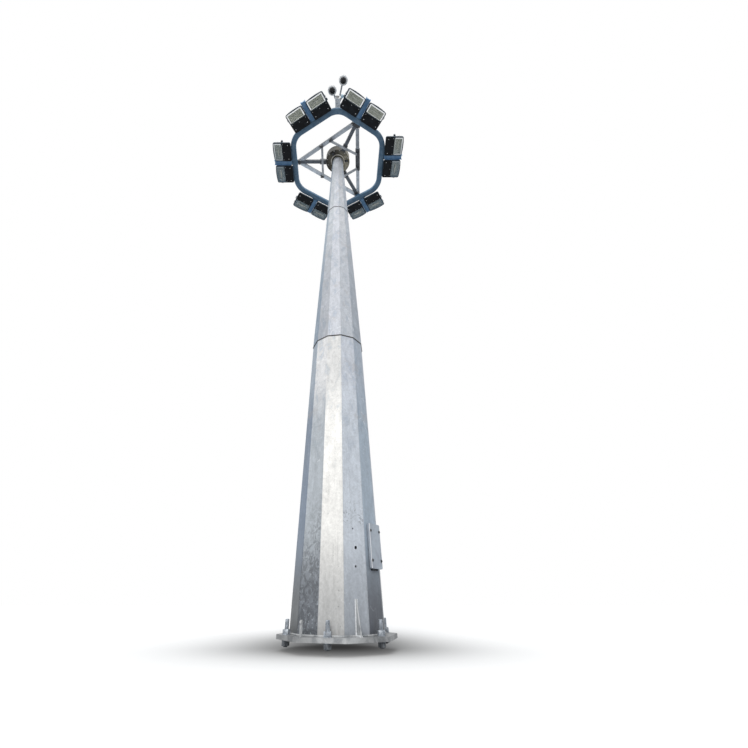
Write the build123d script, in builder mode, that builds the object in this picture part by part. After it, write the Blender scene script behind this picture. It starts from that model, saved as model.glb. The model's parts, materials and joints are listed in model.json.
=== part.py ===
from build123d import *
import os
from math import asin, atan, atan2, cos, degrees, radians, sin

# High mast floodlight tower, in millimetres and degrees. The origin is at the middle of the base
# flange's underside, +Z is up, and the front of the mast looks towards -Y.
# A bearing is counted from the front (-Y) towards +X, a heading from +X towards +Y.

os.makedirs("parts", exist_ok=True)

# Tapered shaft with twelve flats, in three sections that slip over each other. The lower section is
# welded end to end from two lengths, and its foot has the doorway.
flats = 12
shaft_turn = 7.0
base_d = 975.0
slip_1_d = 884.0
slip_2_d = 606.0
top_d = 392.0
foot_top_z = 1050.0
slip_1_z = 3450.0
slip_2_z = 8150.0
shaft_top_z = 12230.0
lap_1 = 820.0
lap_2 = 620.0
lower_wall = 8.0
middle_wall = 6.0
top_wall = 5.0

# Base flange and what stands on it
flange_corner_d = 1226.0
flange_t = 32.0
bolt_circle_d = 1060.0
bolt_count = 6
bolt_turn = 20.0
bolt_hole_d = 48.0
cable_hole_d = 150.0
cable_hole_reach = 210.0
gusset_bearing = shaft_turn + 15.0
gusset_h = 240.0
gusset_foot = 86.0
gusset_toe = 22.0
gusset_tip = 9.0
gusset_t = 12.0
lug_bearing = -37.0
lug_reach = 560.0
lug_h = 105.0
lug_w = 28.0
lug_t = 10.0
lug_hole_d = 14.0

# Service door on the flat to the right of the gusset
door_bearing = shaft_turn + 45.0
door_z = 682.0
door_off = 40.0
doorway_w = 134.0
doorway_h = 310.0
frame_w = 160.0
frame_h = 346.0
frame_proud = 30.0
frame_corner = 16.0
cover_w = 200.0
cover_h = 376.0
cover_gap = 5.0
cover_stand = 12.0
cover_sheet = 3.0
cover_corner = 14.0
hinge_out = 10.0
hinge_side = 14.0
hinge_r = 7.0
hinge_pin_r = 3.5
hinge_play = 0.4
hinge_len = 30.0
hinge_gap = 1.0
hinge_rise = 120.0
hinge_web_t = 5.0
hinge_web_low = 1.0

# Small holes in the flat beside the door
hole_places = ((10.0, 505.0), (18.0, 652.0), (-10.0, 810.0))
hole_diameters = (18.0, 28.0, 16.0)

# Lamp ring: a rounded hexagon with a corner to the front, hung below the shaft's top
ring_below_top = 230.0
ring_apothem = 1645.0
ring_w = 196.0
ring_h = 150.0
ring_corner_r = 640.0
ring_edge_r = 34.0
sides = 6

# Head frame above the ring
arm_headings = (180.0, -64.0, 59.0)
arm_w = 125.0
arm_h = 120.0
saddle_h = 75.0
saddle_len = 190.0
saddle_wide = 180.0
chord_w = 128.0
chord_h = 104.0
chord_reach = (1520.0, 1590.0, 1660.0)
cross_w = 78.0
cross_h = 70.0
cross_at = 590.0
cleat_len = 130.0
cleat_w = 70.0
cleat_out = 30.0
cleat_drop = 28.0
sleeve_t = 18.0
arm_sleeve_at = 575.0
arm_sleeve_len = 235.0
chord_sleeve_len = 800.0
chord_sleeve_off = 80.0
tube_corner_r = 12.0

# Drum that closes the mast head
drum_d = 900.0
drum_h = 520.0
drum_recess = 55.0
drum_rim = 14.0
drum_crown = 45.0
drum_edge_r = 30.0
collar_d = 530.0
collar_t = 22.0
collar_rib_h = 90.0
collar_rib_t = 12.0
collar_ribs = 6

# Radial lamp brackets, yokes and floodlights
bracket_w = 140.0
bracket_h = 160.0
bracket_low = 32.0
bracket_beyond = 329.0
bracket_shift = (-290.0, -140.0, 60.0, 80.0, 20.0, -195.0)
lamp_tuck = 17.0
pivot_below_yoke = 130.0
yoke_w = 60.0
yoke_t = 10.0
leg_t = 6.0
leg_w = 52.0
leg_gap = 2.0
pin_r = 10.0
pin_play = 0.5
pin_depth = 22.0
knob_r = 20.0
knob_t = 14.0
lamp_clear = 5.0
lamp_w = 664.0
lamp_len = 660.0
lamp_bulge = 26.0
lamp_rim_h = 62.0
lamp_back_h = 112.0
lamp_corner_r = 56.0
lamp_back_draft = 16.0
lamp_back_inset = 14.0
lamp_drop = 38.0
lamp_boss_r = 26.0
lamp_boss_len = 60.0
window_w = 570.0
window_len = 292.0
window_out = 40.0
window_corner_r = 30.0
window_depth = 92.0
glass_t = 6.0
glass_lap = 9.0
glass_set = 5.0
gear_len = 298.0
gear_drop = 20.0
gear_inset = 10.0
fin_count = 7
fin_t = 9.0
fin_h = 10.0
fin_len = 340.0

# Camera post, arms and cameras at the front corner of the ring
post_d = 108.0
post_h = 600.0
post_base = 184.0
post_base_t = 14.0
arm_tube_d = 56.0
arm_drop = 60.0
dome_reach = ((185.0, -2610.0), (-190.0, -2320.0))
dome_cap_d = 290.0
dome_cap_h = 130.0
dome_skirt_h = 70.0
dome_skirt_t = 42.0
ball_d = 180.0
ball_gap = 5.0
spigot_r = 26.0
spigot_len = 30.0
spigot_play = 0.4
lens_d = 66.0
lens_depth = 12.0
lens_down = 38.0
bullet_len = 400.0
bullet_w = 185.0
bullet_h = 160.0
bullet_hood = 60.0
bullet_up = 331.0
bullet_pitch = 20.0
sensor_d = 112.0
sensor_h = 130.0
sensor_at = (160.0, -2130.0)


def save(part, name):
    part.label = name
    export_step(part, "parts/" + name + ".step")


def taper_angle(d_low, d_high, height):
    # Slope of a flat between two corner-to-corner sizes
    return degrees(atan((d_low - d_high) / 2 * cos(radians(180 / flats)) / height))


def between(z, z_low, d_low, z_high, d_high):
    return d_low + (d_high - d_low) * (z - z_low) / (z_high - z_low)


def wall_across_corners(wall):
    return 2 * wall / cos(radians(180 / flats))


def lower_d(z):
    return between(z, 0, base_d, slip_1_z, slip_1_d)


def middle_d(z):
    start = lower_d(slip_1_z) + wall_across_corners(middle_wall)
    return between(z, slip_1_z, start, slip_2_z, slip_2_d)


def upper_d(z):
    start = middle_d(slip_2_z) + wall_across_corners(top_wall)
    return between(z, slip_2_z, start, shaft_top_z, top_d)


def lower_nose_d(z):
    # The end of the lower section that the middle section slips over
    return middle_d(z) - wall_across_corners(middle_wall)


def middle_nose_d(z):
    return upper_d(z) - wall_across_corners(top_wall)


def on_bearing(bearing, reach):
    return reach * sin(radians(bearing)), -reach * cos(radians(bearing))


def on_heading(heading, reach, side=0.0):
    a = radians(heading)
    return reach * cos(a) - side * sin(a), reach * sin(a) + side * cos(a)


def flat_reach(z):
    return lower_d(z) / 2 * cos(radians(180 / flats))


def flat_plane(bearing, z, off=0.0):
    # Plane on a flat of the lower section: x along the flat, y up, z out of it
    lean = radians(taper_angle(lower_d(0), lower_d(slip_1_z), slip_1_z))
    b = radians(bearing)
    x, y = on_bearing(bearing, flat_reach(z))
    return Plane(
        origin=(x + off * cos(b), y + off * sin(b), z),
        x_dir=(cos(b), sin(b), 0),
        z_dir=(sin(b) * cos(lean), -cos(b) * cos(lean), sin(lean)),
    )


def crown_middle(half_width, rise):
    # Middle point of a crown's arc, whose centre is on the axis
    radius = (half_width**2 + rise**2) / (2 * rise)
    half_turn = asin(half_width / radius) / 2
    return radius * sin(half_turn), rise - radius * (1 - cos(half_turn))


def radial_plane(bearing):
    # Upright plane through the axis: x out along the bearing, y up
    x, y = on_bearing(bearing, 1.0)
    across = radians(bearing)
    return Plane(origin=(0, 0, 0), x_dir=(x, y, 0), z_dir=(-cos(across), -sin(across), 0))


# Base flange: an octagonal plate with six anchor holes, and two cable holes inside the shaft
with BuildPart() as base_flange:
    with BuildSketch():
        RegularPolygon(radius=flange_corner_d / 2, side_count=8, rotation=shaft_turn)
        with GridLocations(2 * cable_hole_reach, 0, 2, 1):
            Circle(cable_hole_d / 2, mode=Mode.SUBTRACT)
        with PolarLocations(bolt_circle_d / 2, bolt_count, start_angle=bolt_turn):
            Circle(bolt_hole_d / 2, mode=Mode.SUBTRACT)
    extrude(amount=flange_t)
save(base_flange.part, "base_flange")


# Shaft sections. Each has a run of its own taper and a nose that the next section sits on.
lower_top_z = slip_1_z + lap_1
middle_top_z = slip_2_z + lap_2

with BuildPart() as shaft_foot:
    foot_slope = taper_angle(lower_d(flange_t), lower_d(foot_top_z), foot_top_z - flange_t)
    for inset, way in ((0, Mode.ADD), (wall_across_corners(lower_wall), Mode.SUBTRACT)):
        with BuildSketch(Plane.XY.offset(flange_t)):
            RegularPolygon((lower_d(flange_t) - inset) / 2, flats, rotation=shaft_turn)
        extrude(amount=foot_top_z - flange_t, taper=foot_slope, mode=way)
    with BuildSketch(flat_plane(door_bearing, door_z, door_off)):
        RectangleRounded(doorway_w, doorway_h, frame_corner)
    extrude(amount=4 * lower_wall, both=True, mode=Mode.SUBTRACT)
    for (hole_off, hole_z), hole_d in zip(hole_places, hole_diameters):
        with BuildSketch(flat_plane(gusset_bearing, hole_z, hole_off)):
            Circle(hole_d / 2)
        extrude(amount=4 * lower_wall, both=True, mode=Mode.SUBTRACT)
save(shaft_foot.part, "shaft_foot")

with BuildPart() as shaft_lower:
    for low_z, high_z, size_at in ((foot_top_z, slip_1_z, lower_d), (slip_1_z, lower_top_z, lower_nose_d)):
        slope = taper_angle(size_at(low_z), size_at(high_z), high_z - low_z)
        for inset, way in ((0, Mode.ADD), (wall_across_corners(lower_wall), Mode.SUBTRACT)):
            with BuildSketch(Plane.XY.offset(low_z)):
                RegularPolygon((size_at(low_z) - inset) / 2, flats, rotation=shaft_turn)
            extrude(amount=high_z - low_z, taper=slope, mode=way)
save(shaft_lower.part, "shaft_lower")

with BuildPart() as shaft_middle:
    for low_z, high_z, size_at in ((slip_1_z, slip_2_z, middle_d), (slip_2_z, middle_top_z, middle_nose_d)):
        slope = taper_angle(size_at(low_z), size_at(high_z), high_z - low_z)
        for inset, way in ((0, Mode.ADD), (wall_across_corners(middle_wall), Mode.SUBTRACT)):
            with BuildSketch(Plane.XY.offset(low_z)):
                RegularPolygon((size_at(low_z) - inset) / 2, flats, rotation=shaft_turn)
            extrude(amount=high_z - low_z, taper=slope, mode=way)
save(shaft_middle.part, "shaft_middle")

with BuildPart() as shaft_top:
    top_run = shaft_top_z - slip_2_z
    top_slope = taper_angle(upper_d(slip_2_z), upper_d(shaft_top_z), top_run)
    for inset, way in ((0, Mode.ADD), (wall_across_corners(top_wall), Mode.SUBTRACT)):
        with BuildSketch(Plane.XY.offset(slip_2_z)):
            RegularPolygon((upper_d(slip_2_z) - inset) / 2, flats, rotation=shaft_turn)
        extrude(amount=top_run, taper=top_slope, mode=way)
save(shaft_top.part, "shaft_top")


# Gussets and earthing lugs, one of each in front and its twin opposite
with BuildPart() as base_gussets:
    top_z = flange_t + gusset_h
    for bearing in (gusset_bearing, gusset_bearing + 180):
        with BuildSketch(radial_plane(bearing)):
            with BuildLine():
                Polyline(
                    (flat_reach(flange_t), flange_t),
                    (flat_reach(flange_t) + gusset_foot, flange_t),
                    (flat_reach(flange_t) + gusset_foot, flange_t + gusset_toe),
                    (flat_reach(top_z) + gusset_tip, top_z),
                    (flat_reach(top_z), top_z),
                    close=True,
                )
            make_face()
        extrude(amount=gusset_t / 2, both=True)
save(base_gussets.part, "base_gussets")

with BuildPart() as earthing_lugs:
    for bearing in (lug_bearing, lug_bearing + 180):
        lug_x, lug_y = on_bearing(bearing, lug_reach)
        along = (cos(radians(bearing)), sin(radians(bearing)), 0)
        outward = (sin(radians(bearing)), -cos(radians(bearing)), 0)
        lug_plane = Plane(origin=(lug_x, lug_y, flange_t), x_dir=along, z_dir=outward)
        with BuildSketch(lug_plane) as lug_outline:
            with Locations((0, lug_h / 2)):
                Rectangle(lug_w, lug_h)
            fillet(lug_outline.vertices().group_by(Axis.Y)[-1], lug_w / 4)
            with Locations((0, lug_h - lug_w / 2)):
                Circle(lug_hole_d / 2, mode=Mode.SUBTRACT)
        extrude(amount=lug_t / 2, both=True)
save(earthing_lugs.part, "earthing_lugs")


# Service door: a frame welded round the doorway, and a folded cover on lift-off hinges
door_plane = flat_plane(door_bearing, door_z, door_off)
hinge_x = cover_w / 2 + hinge_side
cover_depth = frame_proud + cover_gap + cover_sheet - cover_stand


def hinge_plane(up):
    # Across the hinge line, that far up from the middle of the door: x out of the flat, y along it
    origin = door_plane.from_local_coords(Vector(hinge_x, up, hinge_out))
    return Plane(origin=origin, x_dir=door_plane.z_dir, z_dir=door_plane.y_dir)


with BuildPart() as door_frame:
    with BuildSketch(door_plane):
        RectangleRounded(frame_w, frame_h, frame_corner)
        RectangleRounded(doorway_w, doorway_h, frame_corner, mode=Mode.SUBTRACT)
    extrude(amount=frame_proud)
    for middle in (-hinge_rise, hinge_rise):
        low = middle - hinge_gap / 2 - hinge_len
        with BuildSketch(hinge_plane(low)):
            Circle(hinge_r)
        extrude(amount=hinge_len)
        with BuildSketch(hinge_plane(low)):
            Circle(hinge_pin_r)
        extrude(amount=2 * hinge_len)
        with BuildSketch(hinge_plane(low)):
            web_len = hinge_x - frame_w / 2
            with Locations((hinge_web_t / 2 + hinge_web_low - hinge_out, -web_len / 2)):
                Rectangle(hinge_web_t, web_len)
        extrude(amount=hinge_len)
save(door_frame.part, "door_frame")

with BuildPart() as door_cover:
    with BuildSketch(door_plane.offset(cover_stand)):
        RectangleRounded(cover_w, cover_h, cover_corner)
    extrude(amount=cover_depth)
    with BuildSketch(door_plane.offset(cover_stand)):
        RectangleRounded(cover_w - 2 * cover_sheet, cover_h - 2 * cover_sheet, cover_corner - cover_sheet)
    extrude(amount=cover_depth - cover_sheet, mode=Mode.SUBTRACT)
    for middle in (-hinge_rise, hinge_rise):
        low = middle + hinge_gap / 2
        with BuildSketch(hinge_plane(low)):
            Circle(hinge_r)
            web_low = cover_stand - hinge_out
            web_len = hinge_side + cover_sheet / 2
            with Locations(((web_low + hinge_r) / 2, -web_len / 2)):
                Rectangle(hinge_r - web_low, web_len)
        extrude(amount=hinge_len)
        with BuildSketch(hinge_plane(low)):
            Circle(hinge_pin_r + hinge_play)
        extrude(amount=hinge_len, mode=Mode.SUBTRACT)
save(door_cover.part, "door_cover")


# Lamp ring: one closed tube bent into a hexagon with round corners
ring_z = shaft_top_z - ring_below_top
ring_low_z = ring_z - ring_h / 2
ring_top_z = ring_z + ring_h / 2


def ring_outline(reach, corner_r):
    # Hexagon of that reach to its flats, with a corner to the front and round corners
    with BuildSketch(Plane.XY.offset(ring_low_z)) as outline:
        RegularPolygon(reach, sides, major_radius=False, rotation=30)
        fillet(outline.vertices(), corner_r)
    return outline.sketch


with BuildPart() as lamp_ring:
    extrude(ring_outline(ring_apothem + ring_w / 2, ring_corner_r + ring_w / 2), amount=ring_h)
    inner = ring_outline(ring_apothem - ring_w / 2, ring_corner_r - ring_w / 2)
    extrude(inner, amount=ring_h, mode=Mode.SUBTRACT)
    rims = lamp_ring.faces().filter_by(Axis.Z)
    fillet(rims.edges(), ring_edge_r)
save(lamp_ring.part, "lamp_ring")


# Drum over the mast head, with a recessed underside
drum_z = shaft_top_z - drum_recess
drum_top_z = drum_z + drum_h
drum_r = drum_d / 2
crown_x, crown_z = crown_middle(drum_r, drum_crown)

with BuildPart() as head_drum:
    with BuildSketch(Plane.XZ) as drum_section:
        with BuildLine():
            Polyline(
                (0, drum_top_z),
                (0, shaft_top_z),
                (drum_r - drum_rim, shaft_top_z),
                (drum_r - drum_rim, drum_z),
                (drum_r, drum_z),
                (drum_r, drum_top_z - drum_crown),
            )
            ThreePointArc(
                (drum_r, drum_top_z - drum_crown),
                (crown_x, drum_top_z - drum_crown + crown_z),
                (0, drum_top_z),
            )
        make_face()
        shoulder = (drum_r, drum_top_z - drum_crown)
        fillet(drum_section.vertices().sort_by_distance(shoulder)[0], drum_edge_r)
    revolve(axis=Axis.Z)
save(head_drum.part, "head_drum")

with BuildPart() as head_collar:
    with BuildSketch(Plane.XY.offset(shaft_top_z - collar_t)):
        Circle(collar_d / 2)
    extrude(amount=collar_t)
    rib_low_z = shaft_top_z - collar_t - collar_rib_h
    for index in range(collar_ribs):
        bearing = shaft_turn + 15 + index * 360 / collar_ribs
        with BuildSketch(radial_plane(bearing)):
            with BuildLine():
                Polyline(
                    (0, shaft_top_z - collar_t),
                    (collar_d / 2 - collar_t, shaft_top_z - collar_t),
                    (upper_d(rib_low_z) / 2, rib_low_z),
                    (0, rib_low_z),
                    close=True,
                )
            make_face()
        extrude(amount=collar_rib_t / 2, both=True)
    with BuildSketch(Plane.XY.offset(rib_low_z)):
        RegularPolygon(upper_d(rib_low_z) / 2, flats, rotation=shaft_turn)
    extrude(amount=shaft_top_z - rib_low_z, taper=top_slope, mode=Mode.SUBTRACT)
save(head_collar.part, "head_collar")


# Head frame: three radial arms on saddles, chords between them, and cross bars under the arms
arm_low_z = ring_top_z + saddle_h
arm_mid_z = arm_low_z + arm_h / 2
chord_low_z = arm_mid_z - chord_h / 2


def ring_reach(heading):
    # From the axis to the middle of the ring's tube along that heading
    return ring_apothem / cos(radians((heading + 30) % 60 - 30))


def placed(x, y, heading):
    return Locations(Location((x, y, 0), (0, 0, heading)))


with BuildPart() as ring_saddles:
    with BuildSketch(Plane.XY.offset(ring_top_z)):
        for heading in arm_headings:
            with placed(*on_heading(heading, ring_reach(heading)), heading):
                Rectangle(saddle_len, saddle_wide)
    extrude(amount=saddle_h)
save(ring_saddles.part, "ring_saddles")

with BuildPart() as radial_arms:
    with BuildSketch(Plane.XY.offset(arm_low_z)):
        for heading in arm_headings:
            arm_end = ring_reach(heading) + saddle_len / 2
            with placed(*on_heading(heading, arm_end / 2), heading):
                Rectangle(arm_end, arm_w)
        Circle(drum_r, mode=Mode.SUBTRACT)
    extrude(amount=arm_h)
    fillet(radial_arms.edges().filter_by(lambda e: e.length > ring_apothem / 2), tube_corner_r)
save(radial_arms.part, "radial_arms")

# The chords join neighbouring arms. Chord number i runs from arm i to the next one.
arm_joints = [Vector(*on_heading(heading, reach)) for heading, reach in zip(arm_headings, chord_reach)]
chord_runs = [(joint, arm_joints[(i + 1) % len(arm_joints)]) for i, joint in enumerate(arm_joints)]

with BuildPart() as triangle_chords:
    with BuildSketch(Plane.XY.offset(chord_low_z)):
        for start, end in chord_runs:
            run = end - start
            middle = (start + end) / 2
            with placed(middle.X, middle.Y, degrees(atan2(run.Y, run.X))):
                Rectangle(run.length, chord_w)
    extrude(amount=chord_h)
    add(radial_arms.part, mode=Mode.SUBTRACT)
save(triangle_chords.part, "triangle_chords")


def side_to_chord(heading, start, end):
    # From the point on an arm where its cross bar is, sideways to a chord's middle line
    run = end - start
    from_bar = start - Vector(*on_heading(heading, cross_at))
    sideways = Vector(*on_heading(heading, 0.0, 1.0))
    return from_bar.cross(run).Z / sideways.cross(run).Z


cross_ends = [
    (heading, side_to_chord(heading, *chord_runs[i - 1]), side_to_chord(heading, *chord_runs[i]))
    for i, heading in enumerate(arm_headings)
]

with BuildPart() as cross_bars:
    with BuildSketch(Plane.XY.offset(arm_low_z - cross_h)):
        for heading, side_1, side_2 in cross_ends:
            with placed(*on_heading(heading, cross_at, (side_1 + side_2) / 2), heading + 90):
                Rectangle(abs(side_2 - side_1) - cleat_w, cross_w)
    extrude(amount=cross_h)
save(cross_bars.part, "cross_bars")

with BuildPart() as chord_cleats:
    cleat_low_z = arm_low_z - cross_h - cleat_drop
    with BuildSketch(Plane.XY.offset(cleat_low_z)):
        for heading, *both_sides in cross_ends:
            for side in both_sides:
                with placed(*on_heading(heading, cross_at + cleat_out, side), heading):
                    Rectangle(cleat_len, cleat_w)
    extrude(amount=chord_low_z - cleat_low_z)
save(chord_cleats.part, "chord_cleats")

# Bolted sleeves: one on each arm over its cross bar, and a long one on the right chord
with BuildPart() as frame_sleeves:
    with BuildSketch(Plane.XY.offset(arm_low_z - sleeve_t)):
        for heading in arm_headings:
            with placed(*on_heading(heading, arm_sleeve_at), heading):
                Rectangle(arm_sleeve_len, arm_w + 2 * sleeve_t)
    extrude(amount=arm_h + 2 * sleeve_t)
    with BuildSketch(Plane.XY.offset(chord_low_z - sleeve_t)):
        start, end = chord_runs[1]
        run = end - start
        middle = (start + end) / 2 - run.normalized() * chord_sleeve_off
        with placed(middle.X, middle.Y, degrees(atan2(run.Y, run.X))):
            Rectangle(chord_sleeve_len, chord_w + 2 * sleeve_t)
    extrude(amount=chord_h + 2 * sleeve_t)
    for inside in (radial_arms, triangle_chords, cross_bars, chord_cleats):
        add(inside.part, mode=Mode.SUBTRACT)
save(frame_sleeves.part, "frame_sleeves")


# Radial lamp brackets and the yokes on top of them. The lamps' inner ends tuck in under the ring.
pivot_reach = ring_apothem + ring_w / 2 + lamp_len / 2 - lamp_tuck
bracket_reach = pivot_reach + bracket_beyond
bracket_top_z = ring_z - bracket_low + bracket_h / 2
pivot_z = bracket_top_z - pivot_below_yoke
inner_leg = bracket_w / 2 + leg_gap
lamp_inner = inner_leg + leg_t + lamp_clear
lamp_side = lamp_inner + lamp_w / 2
outer_leg = lamp_inner + lamp_w + lamp_clear
lamp_stations = [(index * 360 / sides, shift) for index, shift in enumerate(bracket_shift)]

with BuildPart() as lamp_brackets:
    bracket_foot = ring_apothem + ring_w / 2
    bracket_len = bracket_reach - bracket_foot
    with BuildSketch(Plane.XY.offset(bracket_top_z - bracket_h)):
        for heading, shift in lamp_stations:
            with placed(*on_heading(heading, bracket_foot + bracket_len / 2, shift), heading):
                Rectangle(bracket_len, bracket_w)
    extrude(amount=bracket_h)
save(lamp_brackets.part, "lamp_brackets")

with BuildPart() as yoke_bars:
    with BuildSketch(Plane.XY.offset(bracket_top_z)):
        for heading, shift in lamp_stations:
            with placed(*on_heading(heading, pivot_reach, shift), heading):
                Rectangle(yoke_w, 2 * (outer_leg + leg_t))
    extrude(amount=yoke_t)
save(yoke_bars.part, "yoke_bars")


def leg_plane(heading, side):
    # Across the lamps' pivot line, at that distance along the side of the ring
    x, y = on_heading(heading, pivot_reach, side)
    out = radians(heading)
    return Plane(origin=(x, y, pivot_z), x_dir=(-cos(out), -sin(out), 0), z_dir=(-sin(out), cos(out), 0))


with BuildPart() as yoke_legs:
    for heading, shift in lamp_stations:
        for hand in (-1, 1):
            for leg_at, inward in ((inner_leg, 1), (outer_leg, -1)):
                with BuildSketch(leg_plane(heading, shift + hand * leg_at)):
                    with Locations((0, pivot_below_yoke / 2)):
                        Rectangle(leg_w, pivot_below_yoke)
                    Circle(leg_w / 2)
                extrude(amount=hand * leg_t)
                pin_from = leg_at + leg_t if inward > 0 else leg_at
                with BuildSketch(leg_plane(heading, shift + hand * pin_from)):
                    Circle(pin_r)
                extrude(amount=hand * inward * (lamp_clear + pin_depth))
            with BuildSketch(leg_plane(heading, shift + hand * (outer_leg + leg_t))):
                RegularPolygon(knob_r, 6)
            extrude(amount=hand * knob_t)
save(yoke_legs.part, "yoke_legs")


# Floodlight, at its pivot: x along the pivot line, y away from the mast, the window looks down
lamp_front = -lamp_rim_h - lamp_back_inset - lamp_drop
window_y = lamp_len / 2 - window_out - window_len / 2

with BuildPart() as floodlight:
    with BuildSketch(Plane.XY.offset(lamp_front)) as lamp_outline:
        with BuildLine():
            Polyline(
                (-lamp_w / 2, lamp_len / 2 - lamp_bulge),
                (-lamp_w / 2, -lamp_len / 2),
                (lamp_w / 2, -lamp_len / 2),
                (lamp_w / 2, lamp_len / 2 - lamp_bulge),
            )
            ThreePointArc(
                (lamp_w / 2, lamp_len / 2 - lamp_bulge),
                (0, lamp_len / 2),
                (-lamp_w / 2, lamp_len / 2 - lamp_bulge),
            )
        make_face()
        fillet(lamp_outline.vertices(), lamp_corner_r)
    extrude(amount=lamp_rim_h)
    with BuildSketch(Plane.XY.offset(lamp_front + lamp_rim_h)) as back_outline:
        add(lamp_outline.sketch.moved(Location((0, 0, -lamp_front))))
        offset(amount=-lamp_back_inset, mode=Mode.REPLACE)
    extrude(amount=lamp_back_h, taper=lamp_back_draft)
    back_z = lamp_front + lamp_rim_h + lamp_back_h
    with BuildSketch(Plane.XY.offset(back_z)):
        with GridLocations(lamp_w / (fin_count + 1), 0, fin_count, 1):
            Rectangle(fin_t, fin_len)
    extrude(amount=fin_h)
    with BuildSketch(Plane.XY.offset(lamp_front - gear_drop)):
        with Locations((0, gear_inset + gear_len / 2 - lamp_len / 2)):
            RectangleRounded(lamp_w - 2 * gear_inset, gear_len, lamp_corner_r - gear_inset)
    extrude(amount=gear_drop)
    with BuildSketch(Plane.XY.offset(lamp_front)):
        with Locations((0, window_y)):
            RectangleRounded(window_w, window_len, window_corner_r)
    extrude(amount=window_depth, mode=Mode.SUBTRACT)
    with BuildSketch(Plane.XY.offset(lamp_front)):
        with Locations((0, window_y)):
            ledge_r = window_corner_r + glass_lap
            RectangleRounded(window_w + 2 * glass_lap, window_len + 2 * glass_lap, ledge_r)
    extrude(amount=glass_set + glass_t, mode=Mode.SUBTRACT)
    for hand in (-1, 1):
        with BuildSketch(Plane.YZ.offset(hand * lamp_w / 2)):
            Circle(lamp_boss_r)
        extrude(amount=-hand * lamp_boss_len)
        with BuildSketch(Plane.YZ.offset(hand * lamp_w / 2)):
            Circle(pin_r + pin_play)
        extrude(amount=-hand * (pin_depth + pin_play), mode=Mode.SUBTRACT)

with BuildPart() as window_glass:
    with BuildSketch(Plane.XY.offset(lamp_front + glass_set)):
        with Locations((0, window_y)):
            RectangleRounded(window_w + 2 * glass_lap, window_len + 2 * glass_lap, ledge_r)
    extrude(amount=glass_t)

for index, (heading, shift) in enumerate(lamp_stations):
    for hand in (-1, 1):
        number = 2 * index + (1 if hand < 0 else 2)
        lamp_x, lamp_y = on_heading(heading, pivot_reach, shift + hand * lamp_side)
        lamp_place = Location((lamp_x, lamp_y, pivot_z), (0, 0, heading - 90))
        with BuildPart() as lamp_body:
            with Locations(lamp_place):
                add(floodlight.part)
        save(lamp_body.part, f"floodlight_{number:02d}_housing")
        with BuildPart() as lamp_glass:
            with Locations(lamp_place):
                add(window_glass.part)
        save(lamp_glass.part, f"floodlight_{number:02d}_glass")


# Camera post on the front corner of the ring, its arms, and what they carry
corner_reach = (ring_apothem + ring_corner_r * (cos(radians(30)) - 1)) / cos(radians(30))
post_x, post_y = 0.0, -corner_reach
post_top_z = ring_top_z + post_base_t + post_h
bullet_z = ring_top_z + post_base_t + bullet_up
arm_tube_z = post_top_z - arm_tube_d / 2 - post_base_t
drop_low_z = arm_tube_z - arm_drop

with BuildPart() as camera_post:
    with BuildSketch(Plane.XY.offset(ring_top_z)):
        with Locations((post_x, post_y)):
            Rectangle(post_base, post_base)
    extrude(amount=post_base_t)
    with BuildSketch(Plane.XY.offset(ring_top_z + post_base_t)):
        with Locations((post_x, post_y)):
            Circle(post_d / 2)
    extrude(amount=post_h)
    fillet(camera_post.faces().sort_by(Axis.Z)[-1].edges(), post_d / 6)
save(camera_post.part, "camera_post")

with BuildPart() as camera_arms:
    for end_x, end_y in (*dome_reach, sensor_at):
        start = Vector(post_x, post_y, arm_tube_z)
        end = Vector(end_x, end_y, arm_tube_z)
        along = (end - start).normalized()
        with BuildSketch(Plane(origin=start, z_dir=(along.X, along.Y, 0))):
            Circle(arm_tube_d / 2)
        extrude(amount=(end - start).length)
        with BuildSketch(Plane.XY.offset(arm_tube_z)):
            with Locations((end_x, end_y)):
                Circle(arm_tube_d / 2)
        extrude(amount=-arm_drop)
        with Locations((end_x, end_y, arm_tube_z)):
            Sphere(arm_tube_d / 2)
    add(camera_post.part, mode=Mode.SUBTRACT)
save(camera_arms.part, "camera_arms")

cap_low_z = drop_low_z - dome_cap_h
cap_r = dome_cap_d / 2
ball_r = ball_d / 2
cap_x, cap_z = crown_middle(cap_r, dome_cap_h)

with BuildPart() as dome_shell:
    with BuildSketch(Plane.XZ):
        with BuildLine():
            Polyline(
                (0, dome_cap_h),
                (0, 0),
                (cap_r - dome_skirt_t, 0),
                (cap_r - dome_skirt_t, -dome_skirt_h),
                (cap_r, -dome_skirt_h),
                (cap_r, 0),
            )
            ThreePointArc((cap_r, 0), (cap_x, cap_z), (0, dome_cap_h))
        make_face()
    revolve(axis=Axis.Z)
    with BuildSketch():
        Circle(spigot_r)
    extrude(amount=-(ball_gap + spigot_len))

with BuildPart() as dome_ball:
    ball_middle = Vector(0, 0, -(ball_r + ball_gap))
    with Locations(ball_middle):
        Sphere(ball_r)
    with BuildSketch():
        Circle(spigot_r + spigot_play)
    extrude(amount=-(2 * ball_gap + spigot_len), mode=Mode.SUBTRACT)
    lens_lean = radians(lens_down)
    lens_way = Vector(0, -cos(lens_lean), -sin(lens_lean))
    lens_at = ball_middle + lens_way * (ball_r - lens_depth)
    with BuildSketch(Plane(origin=lens_at, z_dir=lens_way)):
        Circle(lens_d / 2)
    extrude(amount=2 * lens_depth, mode=Mode.SUBTRACT)

with BuildPart() as dome_housings:
    for end_x, end_y in dome_reach:
        with Locations((end_x, end_y, cap_low_z)):
            add(dome_shell.part)
save(dome_housings.part, "dome_housings")

for hand, (end_x, end_y) in zip(("right", "left"), dome_reach):
    with BuildPart() as ball:
        with Locations((end_x, end_y, cap_low_z)):
            add(dome_ball.part)
    save(ball.part, f"dome_ball_{hand}")

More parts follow.
